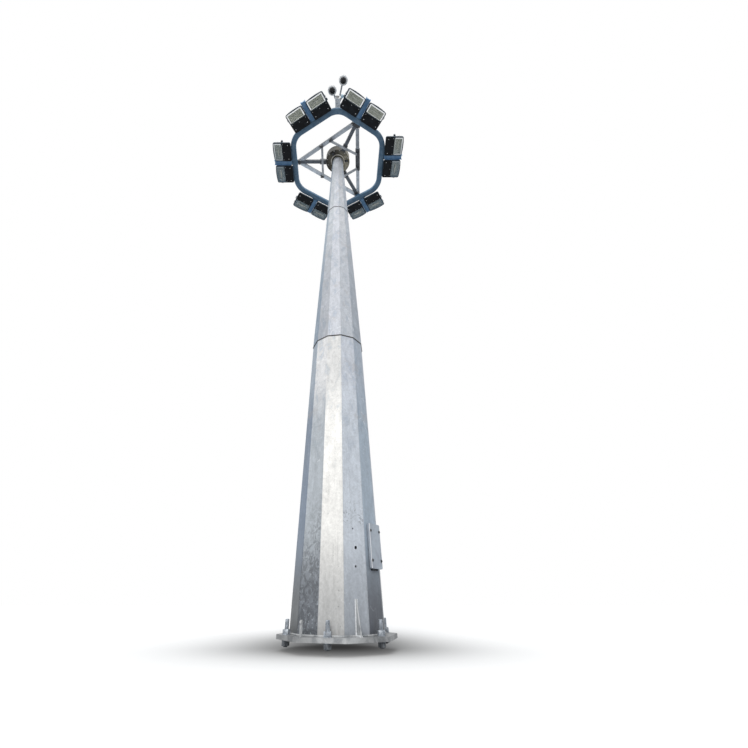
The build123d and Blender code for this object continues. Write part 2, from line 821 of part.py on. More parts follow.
with BuildPart() as bullet_camera:
    lean = radians(bullet_pitch)
    bullet_y = post_y - post_d / 2 - bullet_w / 2
    view_way = (0, -cos(lean), -sin(lean))
    with BuildSketch(Plane(origin=(post_x, bullet_y, bullet_z), x_dir=(1, 0, 0), z_dir=view_way)):
        RectangleRounded(bullet_w, bullet_h, bullet_w / 5)
    extrude(amount=bullet_len - bullet_w)
    with BuildSketch(Plane(origin=(post_x, bullet_y, bullet_z), x_dir=(1, 0, 0), z_dir=view_way)):
        RectangleRounded(bullet_w, bullet_h, bullet_w / 5)
    extrude(amount=-bullet_w / 2)
    with BuildSketch(Plane.XZ.offset(-post_y)):
        with Locations((post_x, bullet_z)):
            Rectangle(bullet_hood, bullet_hood)
    extrude(amount=post_d / 2 + bullet_w / 2)
    add(camera_post.part, mode=Mode.SUBTRACT)
save(bullet_camera.part, "bullet_camera")

with BuildPart() as light_sensor:
    sensor_x, sensor_y = sensor_at
    with BuildSketch(Plane.XY.offset(drop_low_z - sensor_h)):
        with Locations((sensor_x, sensor_y)):
            Circle(sensor_d / 2)
    extrude(amount=sensor_h)
    fillet(light_sensor.edges().group_by(Axis.Z)[0], sensor_d / 2.2)
save(light_sensor.part, "light_sensor")
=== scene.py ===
import json
import math
import bmesh
import bpy
from mathutils import Matrix, Vector


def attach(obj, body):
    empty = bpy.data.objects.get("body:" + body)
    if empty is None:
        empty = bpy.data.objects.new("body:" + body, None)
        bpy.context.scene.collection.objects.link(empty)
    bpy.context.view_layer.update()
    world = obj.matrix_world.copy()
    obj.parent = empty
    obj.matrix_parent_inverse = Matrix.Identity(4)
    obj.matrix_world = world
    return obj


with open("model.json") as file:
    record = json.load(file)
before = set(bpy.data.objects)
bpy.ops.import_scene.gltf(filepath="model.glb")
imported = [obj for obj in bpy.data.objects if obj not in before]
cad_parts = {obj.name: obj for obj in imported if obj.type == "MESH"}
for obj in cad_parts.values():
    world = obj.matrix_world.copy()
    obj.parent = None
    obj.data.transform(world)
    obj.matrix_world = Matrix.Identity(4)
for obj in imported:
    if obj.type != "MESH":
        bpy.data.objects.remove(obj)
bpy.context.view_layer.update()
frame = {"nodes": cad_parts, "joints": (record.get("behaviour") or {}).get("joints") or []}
nodes = frame["nodes"]
joints = {joint["name"]: joint for joint in frame["joints"]}
print("frame loaded:", len(nodes), "nodes")

# What the mast is, in metres and degrees, as its solids have it
mast = {
    "flats": 12, "turn": 7.0, "footSize": 0.975, "lap1Size": 0.884, "lap1": 3.45, "lap2": 8.15,
    "flange": 0.032, "ring": 12.0, "ringApothem": 1.645, "ringWidth": 0.196,
}


def newObject(name, data):
    made = bpy.data.objects.new(name, data)
    bpy.context.scene.collection.objects.link(made)
    return made


# Camera and lights

view = {"place": (0.0, -4.614, 0.244), "pitch": 46.1, "lens": 14.56, "shiftX": 0.0484, "shiftY": -0.1139}

cameraData = bpy.data.cameras.new("photoCamera")
cameraData.lens = view["lens"]
cameraData.sensor_width = 36.0
cameraData.shift_x = view["shiftX"]
cameraData.shift_y = view["shiftY"]
cameraData.clip_end = 300.0
camera = newObject("photoCamera", cameraData)
camera.location = view["place"]
camera.rotation_euler = (math.radians(90 + view["pitch"]), 0, 0)
bpy.context.scene.camera = camera
bpy.context.scene.view_settings.view_transform = "Standard"

lights = {
    "sun": {"bearing": -10.0, "height": 32.0, "energy": 1.6, "angle": 30.0, "colour": (1.0, 0.98, 0.94)},
    "overhead": {"bearing": 0.0, "height": 90.0, "energy": 1.1, "angle": 80.0, "colour": (0.96, 0.98, 1.0)},
}


def addSun(name, setting):
    data = bpy.data.lights.new(name, "SUN")
    data.energy = setting["energy"]
    data.angle = math.radians(setting["angle"])
    data.color = setting["colour"]
    sun = newObject(name, data)
    sun.rotation_euler = (math.radians(90 - setting["height"]), 0, math.radians(setting["bearing"]))


for lightName, lightSetting in lights.items():
    addSun(lightName, lightSetting)


# Shader sums: a socket that can stand in a Python expression

class Link:
    def __init__(self, finish, socket):
        self.finish = finish
        self.socket = socket

    def math(self, operation, *others):
        return self.finish.node("ShaderNodeMath", {"operation": operation}, [self, *others])

    def __add__(self, other):
        return self.math("ADD", other)

    def __sub__(self, other):
        return self.math("SUBTRACT", other)

    def __mul__(self, other):
        return self.math("MULTIPLY", other)

    def __truediv__(self, other):
        return self.math("DIVIDE", other)

    def __gt__(self, other):
        return self.math("GREATER_THAN", other)

    def __lt__(self, other):
        return self.math("LESS_THAN", other)

    def __rsub__(self, other):
        return self.finish.node("ShaderNodeMath", {"operation": "SUBTRACT"}, [other, self])

    __radd__ = __add__
    __rmul__ = __mul__


class Finish:
    def __init__(self, tree):
        self.tree = tree

    def node(self, kind, settings=None, inputs=None, output=0):
        made = self.tree.nodes.new(kind)
        for key, value in (settings or {}).items():
            if key == "stops":
                while len(made.color_ramp.elements) < len(value):
                    made.color_ramp.elements.new(0.5)
                for element, (position, colour) in zip(made.color_ramp.elements, value):
                    element.position = position
                    element.color = (*colour, 1.0)
                made.color_ramp.interpolation = "CONSTANT"
            else:
                setattr(made, key, value)
        pairs = inputs.items() if isinstance(inputs, dict) else enumerate(inputs or [])
        for key, value in pairs:
            self.put(made.inputs[key], value)
        return Link(self, made.outputs[output])

    def put(self, socket, value):
        if isinstance(value, Link):
            self.tree.links.new(value.socket, socket)
        else:
            socket.default_value = value

    def place(self):
        return self.node("ShaderNodeTexCoord", output="Object")

    def normal(self):
        return self.node("ShaderNodeTexCoord", output="Normal")

    def mapped(self, scale, turn=(0.0, 0.0, 0.0)):
        inputs = {"Vector": self.place(), "Scale": scale, "Rotation": turn}
        return self.node("ShaderNodeMapping", inputs=inputs)

    def split(self, vector=None):
        made = self.tree.nodes.new("ShaderNodeSeparateXYZ")
        self.put(made.inputs[0], vector or self.place())
        return [Link(self, output) for output in made.outputs]

    def noise(self, scale, detail=3.0, rough=0.55, vector=None, distortion=0.0):
        inputs = {"Vector": vector or self.place(), "Scale": scale, "Detail": detail}
        inputs.update({"Roughness": rough, "Distortion": distortion})
        return self.node("ShaderNodeTexNoise", inputs=inputs)

    def patches(self, start, end, *noise, **more):
        return self.fade(self.noise(*noise, **more), start, end)

    def cells(self, scale, feature="F1", output="Distance"):
        inputs = {"Vector": self.place(), "Scale": scale}
        return self.node("ShaderNodeTexVoronoi", {"feature": feature}, inputs, output)

    def bands(self, factor, stops):
        return self.node("ShaderNodeValToRGB", {"stops": stops}, [factor])

    def fade(self, value, start, end, low=0.0, high=1.0):
        inputs = [value, start, end, low, high]
        return self.node("ShaderNodeMapRange", {"interpolation_type": "SMOOTHSTEP"}, inputs)

    def blend(self, factor, first, second, way="MIX"):
        first, second = [value if isinstance(value, Link) else (*value, 1.0) for value in (first, second)]
        settings = {"data_type": "RGBA", "blend_type": way}
        return self.node("ShaderNodeMix", settings, {0: factor, 6: first, 7: second}, 2)

    def scaled(self, colour, factor):
        return self.node("ShaderNodeVectorMath", {"operation": "SCALE"}, {0: colour, 3: factor})

    def bump(self, height, strength, distance):
        inputs = {"Strength": strength, "Distance": distance, "Height": height}
        return self.node("ShaderNodeBump", inputs=inputs)

    def grain(self, strength, distance, *noise):
        return self.bump(self.noise(*noise), strength, distance)


def newFinish(name, **fixed):
    material = bpy.data.materials.new(name)
    material.use_nodes = True
    finish = Finish(material.node_tree)
    finish.material = material
    finish.shader = material.node_tree.nodes["Principled BSDF"]
    wear(finish, **fixed)
    return finish


def wear(finish, **values):
    sockets = {
        "colour": "Base Color", "rough": "Roughness", "metal": "Metallic", "normal": "Normal", "alpha": "Alpha",
        "level": "Specular IOR Level", "glow": "Emission Color", "glowLevel": "Emission Strength",
    }
    for key, value in values.items():
        if isinstance(value, tuple) and len(value) == 3:
            value = (*value, 1.0)
        finish.put(finish.shader.inputs[sockets[key]], value)


# Backdrop: white to the camera, with a painted soft shadow on the floor under the mast as well as the real one

backdrop = {
    "sky": (0.42, 0.435, 0.45), "ground": (0.40, 0.41, 0.42),
    "floorLevel": -0.078, "floorSize": 120.0, "floorBounce": (0.60, 0.61, 0.62), "floorGlow": 0.42,
    "floorShade": 0.70, "shadowCentre": 0.32, "shadowWide": 1.20, "shadowNear": 1.0, "shadowFar": 2.4,
    "shadowDepth": 0.92, "leastPale": 0.02,
}


def seenDirectly(finish):
    # 1 for what the camera, a mirror or glass sees
    path = finish.tree.nodes.new("ShaderNodeLightPath")
    kinds = ("Is Camera Ray", "Is Glossy Ray", "Is Transmission Ray")
    cameraRay, mirrorRay, glassRay = [Link(finish, path.outputs[kind]) for kind in kinds]
    return cameraRay.math("MAXIMUM", mirrorRay).math("MAXIMUM", glassRay)


world = bpy.data.worlds.new("paleSky")
bpy.context.scene.world = world
world.use_nodes = True
sky = Finish(world.node_tree)
skyHeight = sky.split(sky.node("ShaderNodeTexCoord", output="Generated"))[2]
skyGlow = sky.blend(sky.fade(skyHeight, -0.25, 0.1), backdrop["ground"], backdrop["sky"])
skyBackground = world.node_tree.nodes["Background"]
sky.put(skyBackground.inputs["Color"], sky.blend(seenDirectly(sky), skyGlow, (1.0, 1.0, 1.0)))

floorFinish = newFinish("paleFloor", rough=1.0, level=0.0)
# painted shadow: a soft dark patch in the floor's colour and glow, centred under the mast
floorX, floorY = floorFinish.split()[:2]
floorY = floorY - backdrop["shadowCentre"]
floorReach = floorFinish.fade(floorY, -0.05, 0.05, backdrop["shadowNear"], backdrop["shadowFar"])
floorAcross = (floorX / backdrop["shadowWide"]).math("POWER", 2.0)
floorAlong = (floorY / floorReach).math("POWER", 2.0)
floorPaintedShadow = ((floorAcross + floorAlong) * -1.0).math("EXPONENT") * backdrop["shadowDepth"]
floorPale = (1.0 - floorPaintedShadow).math("MAXIMUM", backdrop["leastPale"])
floorWay = seenDirectly(floorFinish)
floorSeen = floorFinish.scaled((0.92, 0.92, 0.92), floorPale * backdrop["floorShade"])
floorGlow = floorFinish.scaled((1.0, 1.0, 1.0), floorPale * floorWay)
wear(floorFinish, colour=floorFinish.blend(floorWay, backdrop["floorBounce"], floorSeen))
wear(floorFinish, glow=floorGlow, glowLevel=backdrop["floorGlow"])

floorMesh = bmesh.new()
bmesh.ops.create_grid(floorMesh, x_segments=1, y_segments=1, size=backdrop["floorSize"] / 2)
bmesh.ops.translate(floorMesh, vec=(0, 0, backdrop["floorLevel"]), verts=floorMesh.verts)
floorData = bpy.data.meshes.new("floor")
floorMesh.to_mesh(floorData)
floorMesh.free()
floorData.materials.append(floorFinish.material)
floor = newObject("floor", floorData)
print("camera, lights and backdrop made")


# Finishes

flatTonesWithShade = {
    # by the bearing of each flat: at the foot, at door height, under the first joint, above it, at the top; the
    # tones hold each flat's painted light and shade as well as the zinc's own colour
    # -68 to 52 go back to tones measured on the photo, and the others are guesses
    -68: ((0.13, 0.14, 0.15), (0.20, 0.25, 0.33), (0.36, 0.42, 0.49), (0.25, 0.32, 0.40), (0.30, 0.37, 0.45)),
    -38: ((0.17, 0.185, 0.21), (0.46, 0.495, 0.535), (0.75, 0.75, 0.76), (0.43, 0.45, 0.49), (0.58, 0.61, 0.65)),
    -8: ((0.46, 0.46, 0.46), (0.80, 0.79, 0.77), (0.585, 0.585, 0.585), (0.48, 0.50, 0.55), (0.57, 0.59, 0.64)),
    22: ((0.335, 0.36, 0.40), (0.53, 0.57, 0.63), (0.54, 0.57, 0.63), (0.475, 0.50, 0.545), (0.55, 0.565, 0.60)),
    52: ((0.10, 0.11, 0.13), (0.36, 0.425, 0.50), (0.39, 0.44, 0.51), (0.345, 0.38, 0.43), (0.43, 0.47, 0.53)),
    82: ((0.20, 0.22, 0.24), (0.40, 0.45, 0.51), (0.46, 0.50, 0.56), (0.44, 0.48, 0.54), (0.48, 0.52, 0.58)),
    112: ((0.28, 0.30, 0.32), (0.48, 0.52, 0.56), (0.52, 0.54, 0.58), (0.50, 0.53, 0.57), (0.52, 0.55, 0.59)),
    142: ((0.32, 0.34, 0.36), (0.54, 0.56, 0.59), (0.57, 0.58, 0.61), (0.53, 0.55, 0.58), (0.54, 0.56, 0.60)),
    172: ((0.28, 0.30, 0.33), (0.49, 0.52, 0.57), (0.54, 0.56, 0.61), (0.52, 0.55, 0.59), (0.54, 0.57, 0.61)),
    -158: ((0.30, 0.32, 0.34), (0.53, 0.56, 0.60), (0.56, 0.58, 0.62), (0.54, 0.56, 0.60), (0.55, 0.57, 0.61)),
    -128: ((0.26, 0.28, 0.31), (0.46, 0.50, 0.55), (0.52, 0.55, 0.60), (0.50, 0.53, 0.58), (0.53, 0.56, 0.61)),
    -98: ((0.18, 0.20, 0.22), (0.32, 0.38, 0.45), (0.48, 0.52, 0.57), (0.46, 0.50, 0.56), (0.51, 0.55, 0.61)),
}


def facetTonesWithShade(finish, bearing, level):
    # one tone for each flat of the shaft, with the flat's painted light and shade in it
    stops = [((centre - 15 + 180) / 360, tones[level]) for centre, tones in sorted(flatTonesWithShade.items())]
    return finish.bands(bearing, [(0.0, stops[-1][1]), *stops])


def zincGrain(finish, colour, spangle, cloud, grain):
    # spangle crystals, soft clouds and fine grain on a zinc colour
    crystal = finish.split(finish.cells(62.0, output="Color"))[0]
    clouds = finish.noise(3.1, 6.0, 0.62, distortion=0.6)
    fine = finish.noise(90.0, 3.0, 0.6)
    factor = 1.0 + (crystal - 0.5) * spangle + (clouds - 0.5) * cloud + (fine - 0.5) * grain
    return finish.scaled(colour, factor), crystal, clouds, fine


def shaftZinc():
    finish = newFinish("shaftZinc", metal=0.1)
    x, y, z = finish.split()
    bearing = x.math("ARCTAN2", y * -1.0) / (2 * math.pi) + 0.5
    foot, door, high, upper, crown = [facetTonesWithShade(finish, bearing, level) for level in range(5)]
    drift = finish.noise(1.7, 5.0, 0.6) - 0.5
    level = z + drift * 0.9
    colour = finish.blend(finish.fade(z + drift * 0.3, 0.18, 0.85), foot, door)
    colour = finish.blend(finish.fade(level, 1.9, 2.75), colour, high)
    upper = finish.blend(finish.fade(level, 5.2, 7.8), upper, crown)
    colour = finish.blend(z > mast["lap1"] - 0.005, colour, upper)
    facet = (bearing * 360.0 - 180.0 - mast["turn"]) / 30.0
    inFacet = facet.math("FRACT")
    facetNumber = facet.math("FLOOR")
    leftFacet = (facetNumber + 2.0).math("ABSOLUTE") < 0.5
    frontFacet = (facetNumber + 1.0).math("ABSOLUTE") < 0.5
    rightFacet = facetNumber.math("ABSOLUTE") < 0.5
    # dark mottled stains on the flat left of the front, thickest at its right edge and low down
    mottle = finish.patches(0.43, 0.57, 14.0, 6.0, 0.74, distortion=1.4)
    stainTop = finish.fade(level - inFacet * 0.25, 0.15, 1.3, 1.0, 0.0)
    stain = mottle * stainTop * leftFacet * finish.fade(z, 0.0, 0.7, 0.75, 1.0)
    colour = finish.scaled(colour, 1.0 - stain * 0.46)
    flake = finish.patches(0.56, 0.66, 33.0, 4.0, 0.7) * leftFacet * stainTop
    colour = finish.blend(flake * 0.5, colour, (0.52, 0.57, 0.62))
    # faint mottling everywhere
    mottled = finish.noise(24.0, 5.0, 0.7, distortion=0.9)
    colour = finish.scaled(colour, 1.0 + (mottled - 0.5) * 0.62)
    # cloudy bloom, bluish where it is thick, and grimy patches higher up
    bloom = finish.noise(1.0, 6.0, 0.68, finish.mapped((5.5, 5.5, 2.4), (0.35, 0.25, 0.0)), 1.6)
    colour = finish.scaled(colour, 1.0 + (bloom - 0.5) * finish.fade(z, 0.3, 2.0, 0.35, 0.85))
    hazy = finish.blend(1.0, colour, (0.86, 0.95, 1.05), "MULTIPLY")
    colour = finish.blend(finish.fade(bloom, 0.48, 0.36) * finish.fade(z, 1.0, 2.6, 0.0, 0.6), colour, hazy)
    grime = finish.patches(0.55, 0.66, 2.7, 6.0, 0.7, distortion=0.8) * finish.fade(level, 1.3, 2.3)
    colour = finish.blend(grime * 0.38, colour, (0.40, 0.385, 0.39))
    # pale bloom and grey runs down the sheet
    runs = finish.noise(1.0, 4.0, 0.65, finish.mapped((26.0, 26.0, 1.1)))
    colour = finish.scaled(colour, 1.0 + (runs - 0.5) * finish.fade(z, 0.8, 2.5, 0.38, 0.16))
    drip = finish.fade(finish.noise(1.0, 3.0, 0.6, finish.mapped((55.0, 55.0, 2.6))), 0.64, 0.73)
    colour = finish.scaled(colour, 1.0 - drip * 0.16)
    # small dark specks
    spot = finish.fade(finish.cells(17.0), 0.115, 0.06) * finish.patches(0.42, 0.56, 2.6)
    colour = finish.scaled(colour, 1.0 - spot * (0.16 + frontFacet * 0.2))
    # wavy tide marks on the flat beside the door
    tide = finish.noise(9.0, 2.0, 0.45, distortion=0.6)
    tideLine = finish.fade(((tide * 8.0).math("FRACT") - 0.5).math("ABSOLUTE"), 0.10, 0.02)
    tideReach = finish.fade(z, 0.78, 0.86) * finish.fade(z, 1.10, 1.0) * rightFacet
    colour = finish.scaled(colour, 1.0 - tideLine * tideReach * 0.42)
    # long thin rub marks
    rub = finish.noise(1.0, 2.0, 0.5, finish.mapped((6.0, 6.0, 1.9), (0.5, 0.35, 0.4)))
    rubLine = finish.fade((rub - 0.5).math("ABSOLUTE"), 0.005, 0.0015)
    rubLine = rubLine * finish.patches(0.5, 0.56, 1.3, 1.0)
    colour = finish.blend(rubLine * finish.fade(z, 1.2, 1.6, 0.12, 0.5), colour, (0.84, 0.87, 0.90))
    # bent corners, and darker at the very foot
    corner = finish.fade((inFacet - 0.5).math("ABSOLUTE"), 0.470, 0.496)
    colour = finish.scaled(colour, 1.0 - corner * 0.12)
    footDarkening = finish.fade(z + drift * 0.12, 0.03, 0.12, 1.0, 0.0)
    colour = finish.scaled(colour, 1.0 - footDarkening * 0.25)
    colour, crystal, clouds, fine = zincGrain(finish, colour, 0.07, 0.16, 0.22)
    height = clouds * 0.6 + crystal * 0.12 + fine * 0.15
    wear(finish, colour=colour, rough=0.52 + (clouds - 0.5) * 0.25 + stain * 0.06)
    wear(finish, normal=finish.bump(height, 0.22, 0.004))
    return finish


def plainZinc(name, tone, dark, uneven=None):
    # galvanized plate, tube and bar
    finish = newFinish(name, metal=0.2)
    old = finish.patches(0.42, 0.66, 6.0, 5.0, 0.65, distortion=0.5)
    colour = finish.blend(old, tone, dark)
    if uneven:
        colour = finish.scaled(colour, uneven(finish))
    colour, crystal, clouds, fine = zincGrain(finish, colour, 0.06, 0.22, 0.10)
    wear(finish, colour=colour, rough=0.5 + (clouds - 0.5) * 0.3)
    wear(finish, normal=finish.bump(clouds * 0.5 + crystal * 0.15 + fine * 0.2, 0.25, 0.003))
    return finish


def chordLightAndShade(finish):
    # painted light and shade: palest underneath and at the back left, dullest at the right
    x, y = finish.split()[:2]
    under = finish.fade(finish.split(finish.normal())[2], -0.5, -0.9)
    return finish.fade(y, -0.25, 0.25, 0.34, 0.75) - finish.fade(x, 0.62, 0.70, 0.0, 0.3) + under * 0.75


def flangeSideShade(finish):
    # painted shade: duller at the sides than in front
    return finish.fade(finish.split()[0].math("ABSOLUTE"), 0.10, 0.30, 1.0, 0.68)


def slatePaint(name, tone, chalky):
    # satin slate-blue paint, chalked and dusty
    finish = newFinish(name, metal=0.0)
    chalk = finish.patches(0.40, 0.68, 4.5, 6.0, 0.68, distortion=0.7)
    colour = finish.blend(chalk, tone, chalky)
    streak = finish.noise(1.0, 4.0, 0.6, finish.mapped((9.0, 9.0, 40.0)))
    colour = finish.scaled(colour, 0.85 + streak * 0.3)
    chip = finish.patches(0.70, 0.75, 34.0, 5.0, 0.7)
    colour = finish.blend(chip * 0.6, colour, (0.30, 0.33, 0.36))
    grime = finish.patches(0.5, 0.72, 1.6, 4.0, 0.6)
    colour = finish.scaled(colour, 1.0 - grime * 0.25)
    # painted shade: darker underneath than at the sides
    under = finish.fade(finish.split(finish.normal())[2], -0.6, -0.98)
    colour = finish.scaled(colour, 1.4 - under * 0.5)
    wear(finish, colour=colour, rough=0.5 + chalk * 0.2 + chip * 0.1, level=0.22)
    wear(finish, normal=finish.bump(finish.noise(140.0, 3.0) * 0.4 + chip * -0.6, 0.2, 0.0015))
    return finish


def drumPaint():
    # weathered brown-grey drum, patchy, with painted light that makes it palest at the right and painted shade
    # on its front
    finish = newFinish("drumPaint", metal=0.1)
    patch = finish.patches(0.40, 0.60, 3.4, 5.0, 0.66, distortion=1.1)
    colour = finish.blend(patch, (0.060, 0.056, 0.042), (0.155, 0.145, 0.115))
    x, y = finish.split()[:2]
    # painted light and shade: brighter to the right, darker on the front
    pale = finish.fade(x, -0.25, 0.35, 0.60, 2.8) * finish.fade(y, -0.40, -0.15, 0.34, 1.0)
    colour = finish.scaled(colour, pale)
    rust = finish.patches(0.58, 0.70, 8.0, 6.0, 0.7)
    colour = finish.blend(rust * 0.5, colour, (0.15, 0.085, 0.045))
    streak = finish.noise(1.0, 4.0, 0.6, finish.mapped((30.0, 30.0, 2.0)))
    colour = finish.scaled(colour, 0.8 + streak * 0.4)
    wear(finish, colour=colour, rough=0.62 + patch * 0.12, normal=finish.grain(0.3, 0.004, 26.0, 5.0, 0.65))
    return finish


def agedFinish(name, tone, old, age, rough, ends=None, grain=None, **fixed):
    # one tone that ages in patches: age is its noise, rough a base and a rise, grain a bump and its noise
    finish = newFinish(name, **fixed)
    aged = finish.noise(*age)
    if ends:
        aged = finish.fade(aged, *ends)
    wear(finish, colour=finish.blend(aged, tone, old), rough=rough[0] + aged * rough[1])
    if grain:
        wear(finish, normal=finish.grain(*grain))
    return finish


def lampCoat():
    # black powder coat, with a slate rim band between the gear cover and the back
    finish = newFinish("lampCoat", metal=0.0, level=0.1)
    z = finish.split()[2]
    dust = finish.patches(0.42, 0.75, 7.0, 6.0, 0.65)
    black = finish.blend(dust, (0.004, 0.005, 0.0065), (0.012, 0.015, 0.019))
    rim = finish.blend(dust, (0.050, 0.078, 0.110), (0.110, 0.145, 0.180))
    low, top, soft = 11.804, 11.8665, 0.0005
    rimBand = finish.fade(z, low - soft, low + soft) * finish.fade(z, top + 2 * soft, top - soft)
    colour = finish.blend(rimBand, black, rim)
    seam = finish.fade((z - top).math("ABSOLUTE"), 0.0045, 0.0025)
    colour = finish.scaled(colour, 1.0 - seam * 0.85)
    wear(finish, colour=colour, rough=0.38 + dust * 0.22, normal=finish.grain(0.12, 0.0008, 260.0, 2.0, 0.6))
    return finish


# painted shade mask: rises from the front of the head to the back
def shadeTowardsBack(finish):
    return finish.fade(finish.split()[1], -1.6, 0.45)


def reflectorMetal():
    # peened and anodised sheet, tarnished to olive beige, with painted shade that makes it darker and bluish at
    # the back
    finish = newFinish("reflectorMetal", metal=0.2)
    dimple = finish.cells(46.0, feature="SMOOTH_F1")
    tarnish = finish.patches(0.36, 0.62, 13.0, 5.0, 0.66, distortion=0.8)
    colour = finish.blend(tarnish, (0.37, 0.375, 0.29), (0.29, 0.30, 0.235))
    bluish = finish.blend(tarnish, (0.13, 0.18, 0.21), (0.095, 0.135, 0.165))
    colour = finish.blend(shadeTowardsBack(finish), colour, bluish)
    haze = finish.patches(0.55, 0.7, 30.0, 3.0, 0.6)
    colour = finish.blend(haze * 0.12, colour, (0.55, 0.55, 0.46))
    wear(finish, colour=colour, rough=0.38 + tarnish * 0.2, normal=finish.bump(dimple, 0.12, 0.003))
    return finish


def bezelPaint():
    finish = newFinish("bezelPaint", metal=0.55)
    grime = finish.patches(0.46, 0.72, 24.0, 5.0, 0.65)
    colour = finish.blend(grime, (0.93, 0.94, 0.94), (0.66, 0.67, 0.66))
    # painted shade: the frames at the back are darker
    colour = finish.blend(shadeTowardsBack(finish), colour, (0.10, 0.14, 0.17))
    wear(finish, colour=colour, rough=0.4 + grime * 0.2, normal=finish.grain(0.12, 0.001, 180.0, 2.0))
    return finish


def windowGlass():
    # toughened glass with a film of dust
    finish = newFinish("windowGlass", metal=0.0, level=0.3)
    film = finish.noise(9.0, 4.0, 0.6)
    colour = finish.blend(film, (0.80, 0.87, 0.88), (0.62, 0.68, 0.68))
    wear(finish, colour=colour, rough=0.05 + film * 0.08, alpha=0.05 + film * 0.08)
    return finish


def zincBolt():
    # galvanized studs and nuts, rustier low down, with painted shade on what lies under the flange
    finish = newFinish("zincBolt", metal=0.35)
    z = finish.split()[2]
    dull = finish.patches(0.38, 0.66, 30.0, 5.0, 0.7)
    colour = finish.blend(dull, (0.46, 0.50, 0.55), (0.20, 0.225, 0.26))
    rust = finish.patches(0.56, 0.66, 55.0, 5.0, 0.7) * finish.fade(z, 0.14, 0.02)
    colour = finish.blend(rust * 0.55, colour, (0.17, 0.10, 0.055))
    # painted shade under the flange
    colour = finish.scaled(colour, finish.fade(z, -0.02, 0.03, 0.35, 1.0))
    wear(finish, colour=colour, rough=0.45 + dull * 0.2, normal=finish.grain(0.2, 0.001, 160.0, 3.0))
    return finish


darkSteel = {
    "age": (11.0, 6.0, 0.7), "ends": (0.45, 0.72), "rough": (0.48, 0.2), "grain": (0.25, 0.002, 75.0, 4.0),
    "metal": 0.3,
}
paleShell = {
    "age": (14.0, 5.0, 0.65), "ends": (0.42, 0.72), "rough": (0.36, 0.25), "grain": (0.1, 0.0006, 220.0, 2.0),
    "metal": 0.0,
}
finishes = {
    "shaft": shaftZinc(),
    "plate": plainZinc("plateZinc", (0.46, 0.47, 0.48), (0.24, 0.255, 0.27)),
    "door": plainZinc("doorZinc", (0.40, 0.45, 0.51), (0.31, 0.34, 0.40)),
    "tube": plainZinc("tubeZinc", (0.37, 0.39, 0.42), (0.20, 0.22, 0.245)),
    "chord": plainZinc("chordZinc", (0.37, 0.41, 0.46), (0.25, 0.28, 0.32), uneven=chordLightAndShade),
    # the arms' zinc darkened: painted shade on the radial arms
    "arm": plainZinc("armZincShaded", (0.080, 0.095, 0.118), (0.045, 0.055, 0.070)),
    # the post's zinc lightened: painted light on a post standing partly in shade
    "post": plainZinc("postZincLit", (0.88, 0.92, 0.95), (0.68, 0.73, 0.78)),
    "flange": plainZinc("flangeZinc", (0.46, 0.47, 0.48), (0.24, 0.25, 0.265), uneven=flangeSideShade),
    # the collar's zinc lightened: painted light in the drum's shade
    "collar": plainZinc("collarZincLit", (0.74, 0.72, 0.67), (0.48, 0.46, 0.42)),
    "slate": slatePaint("slatePaint", (0.078, 0.148, 0.232), (0.138, 0.215, 0.300)),
    # a lighter copy of the slate paint: painted light on the brackets in the lamps' shade
    "bracket": slatePaint("bracketPaintLit", (0.105, 0.215, 0.370), (0.175, 0.300, 0.460)),
    "drum": drumPaint(),
    "dark": agedFinish("darkSteel", (0.030, 0.034, 0.040), (0.085, 0.092, 0.102), **darkSteel),
    "sleeve": agedFinish("sleeveSteel", (0.035, 0.040, 0.047), (0.085, 0.095, 0.11), **darkSteel),
    "lamp": lampCoat(),
    "reflector": reflectorMetal(),
    "bezel": bezelPaint(),
    "glass": windowGlass(),
    "ceramic": agedFinish(
        "ceramic", (0.46, 0.46, 0.39), (0.36, 0.36, 0.30), (60.0, 3.0), (0.2, 0.2), metal=0.0),
    "bolt": agedFinish(
        "brightBolt", (0.66, 0.67, 0.68), (0.36, 0.37, 0.38), (70.0, 5.0, 0.65), (0.32, 0.2),
        grain=(0.15, 0.0008, 190.0, 2.0), metal=0.75),
    "zincBolt": zincBolt(),
    # pale welds, kept pale enough to be painted highlight on the gusset edges and the door cover's edge
    "weld": agedFinish(
        "weldAndHighlightZinc", (0.86, 0.87, 0.88), (0.55, 0.57, 0.60), (40.0, 4.0, 0.65), (0.42, 0.2),
        grain=(0.3, 0.0015, 120.0, 3.0), metal=0.25),
    # painted shade: a dark bead under each slip joint's lip
    "lipShade": agedFinish(
        "lipShade", (0.030, 0.028, 0.026), (0.085, 0.082, 0.078), (45.0, 4.0, 0.65), (0.7, 0.2),
        grain=(0.3, 0.002, 45.0, 4.0, 0.65), metal=0.0),
    "shell": agedFinish("paleShell", (0.90, 0.91, 0.92), (0.62, 0.65, 0.68), **paleShell),
    "sensor": agedFinish("sensorBulb", (0.62, 0.80, 0.92), (0.50, 0.66, 0.76), **paleShell),
    "gloss": agedFinish(
        "darkGloss", (0.005, 0.006, 0.007), (0.014, 0.016, 0.018), (16.0, 4.0, 0.6), (0.08, 0.16),
        metal=0.0, level=0.22),
}

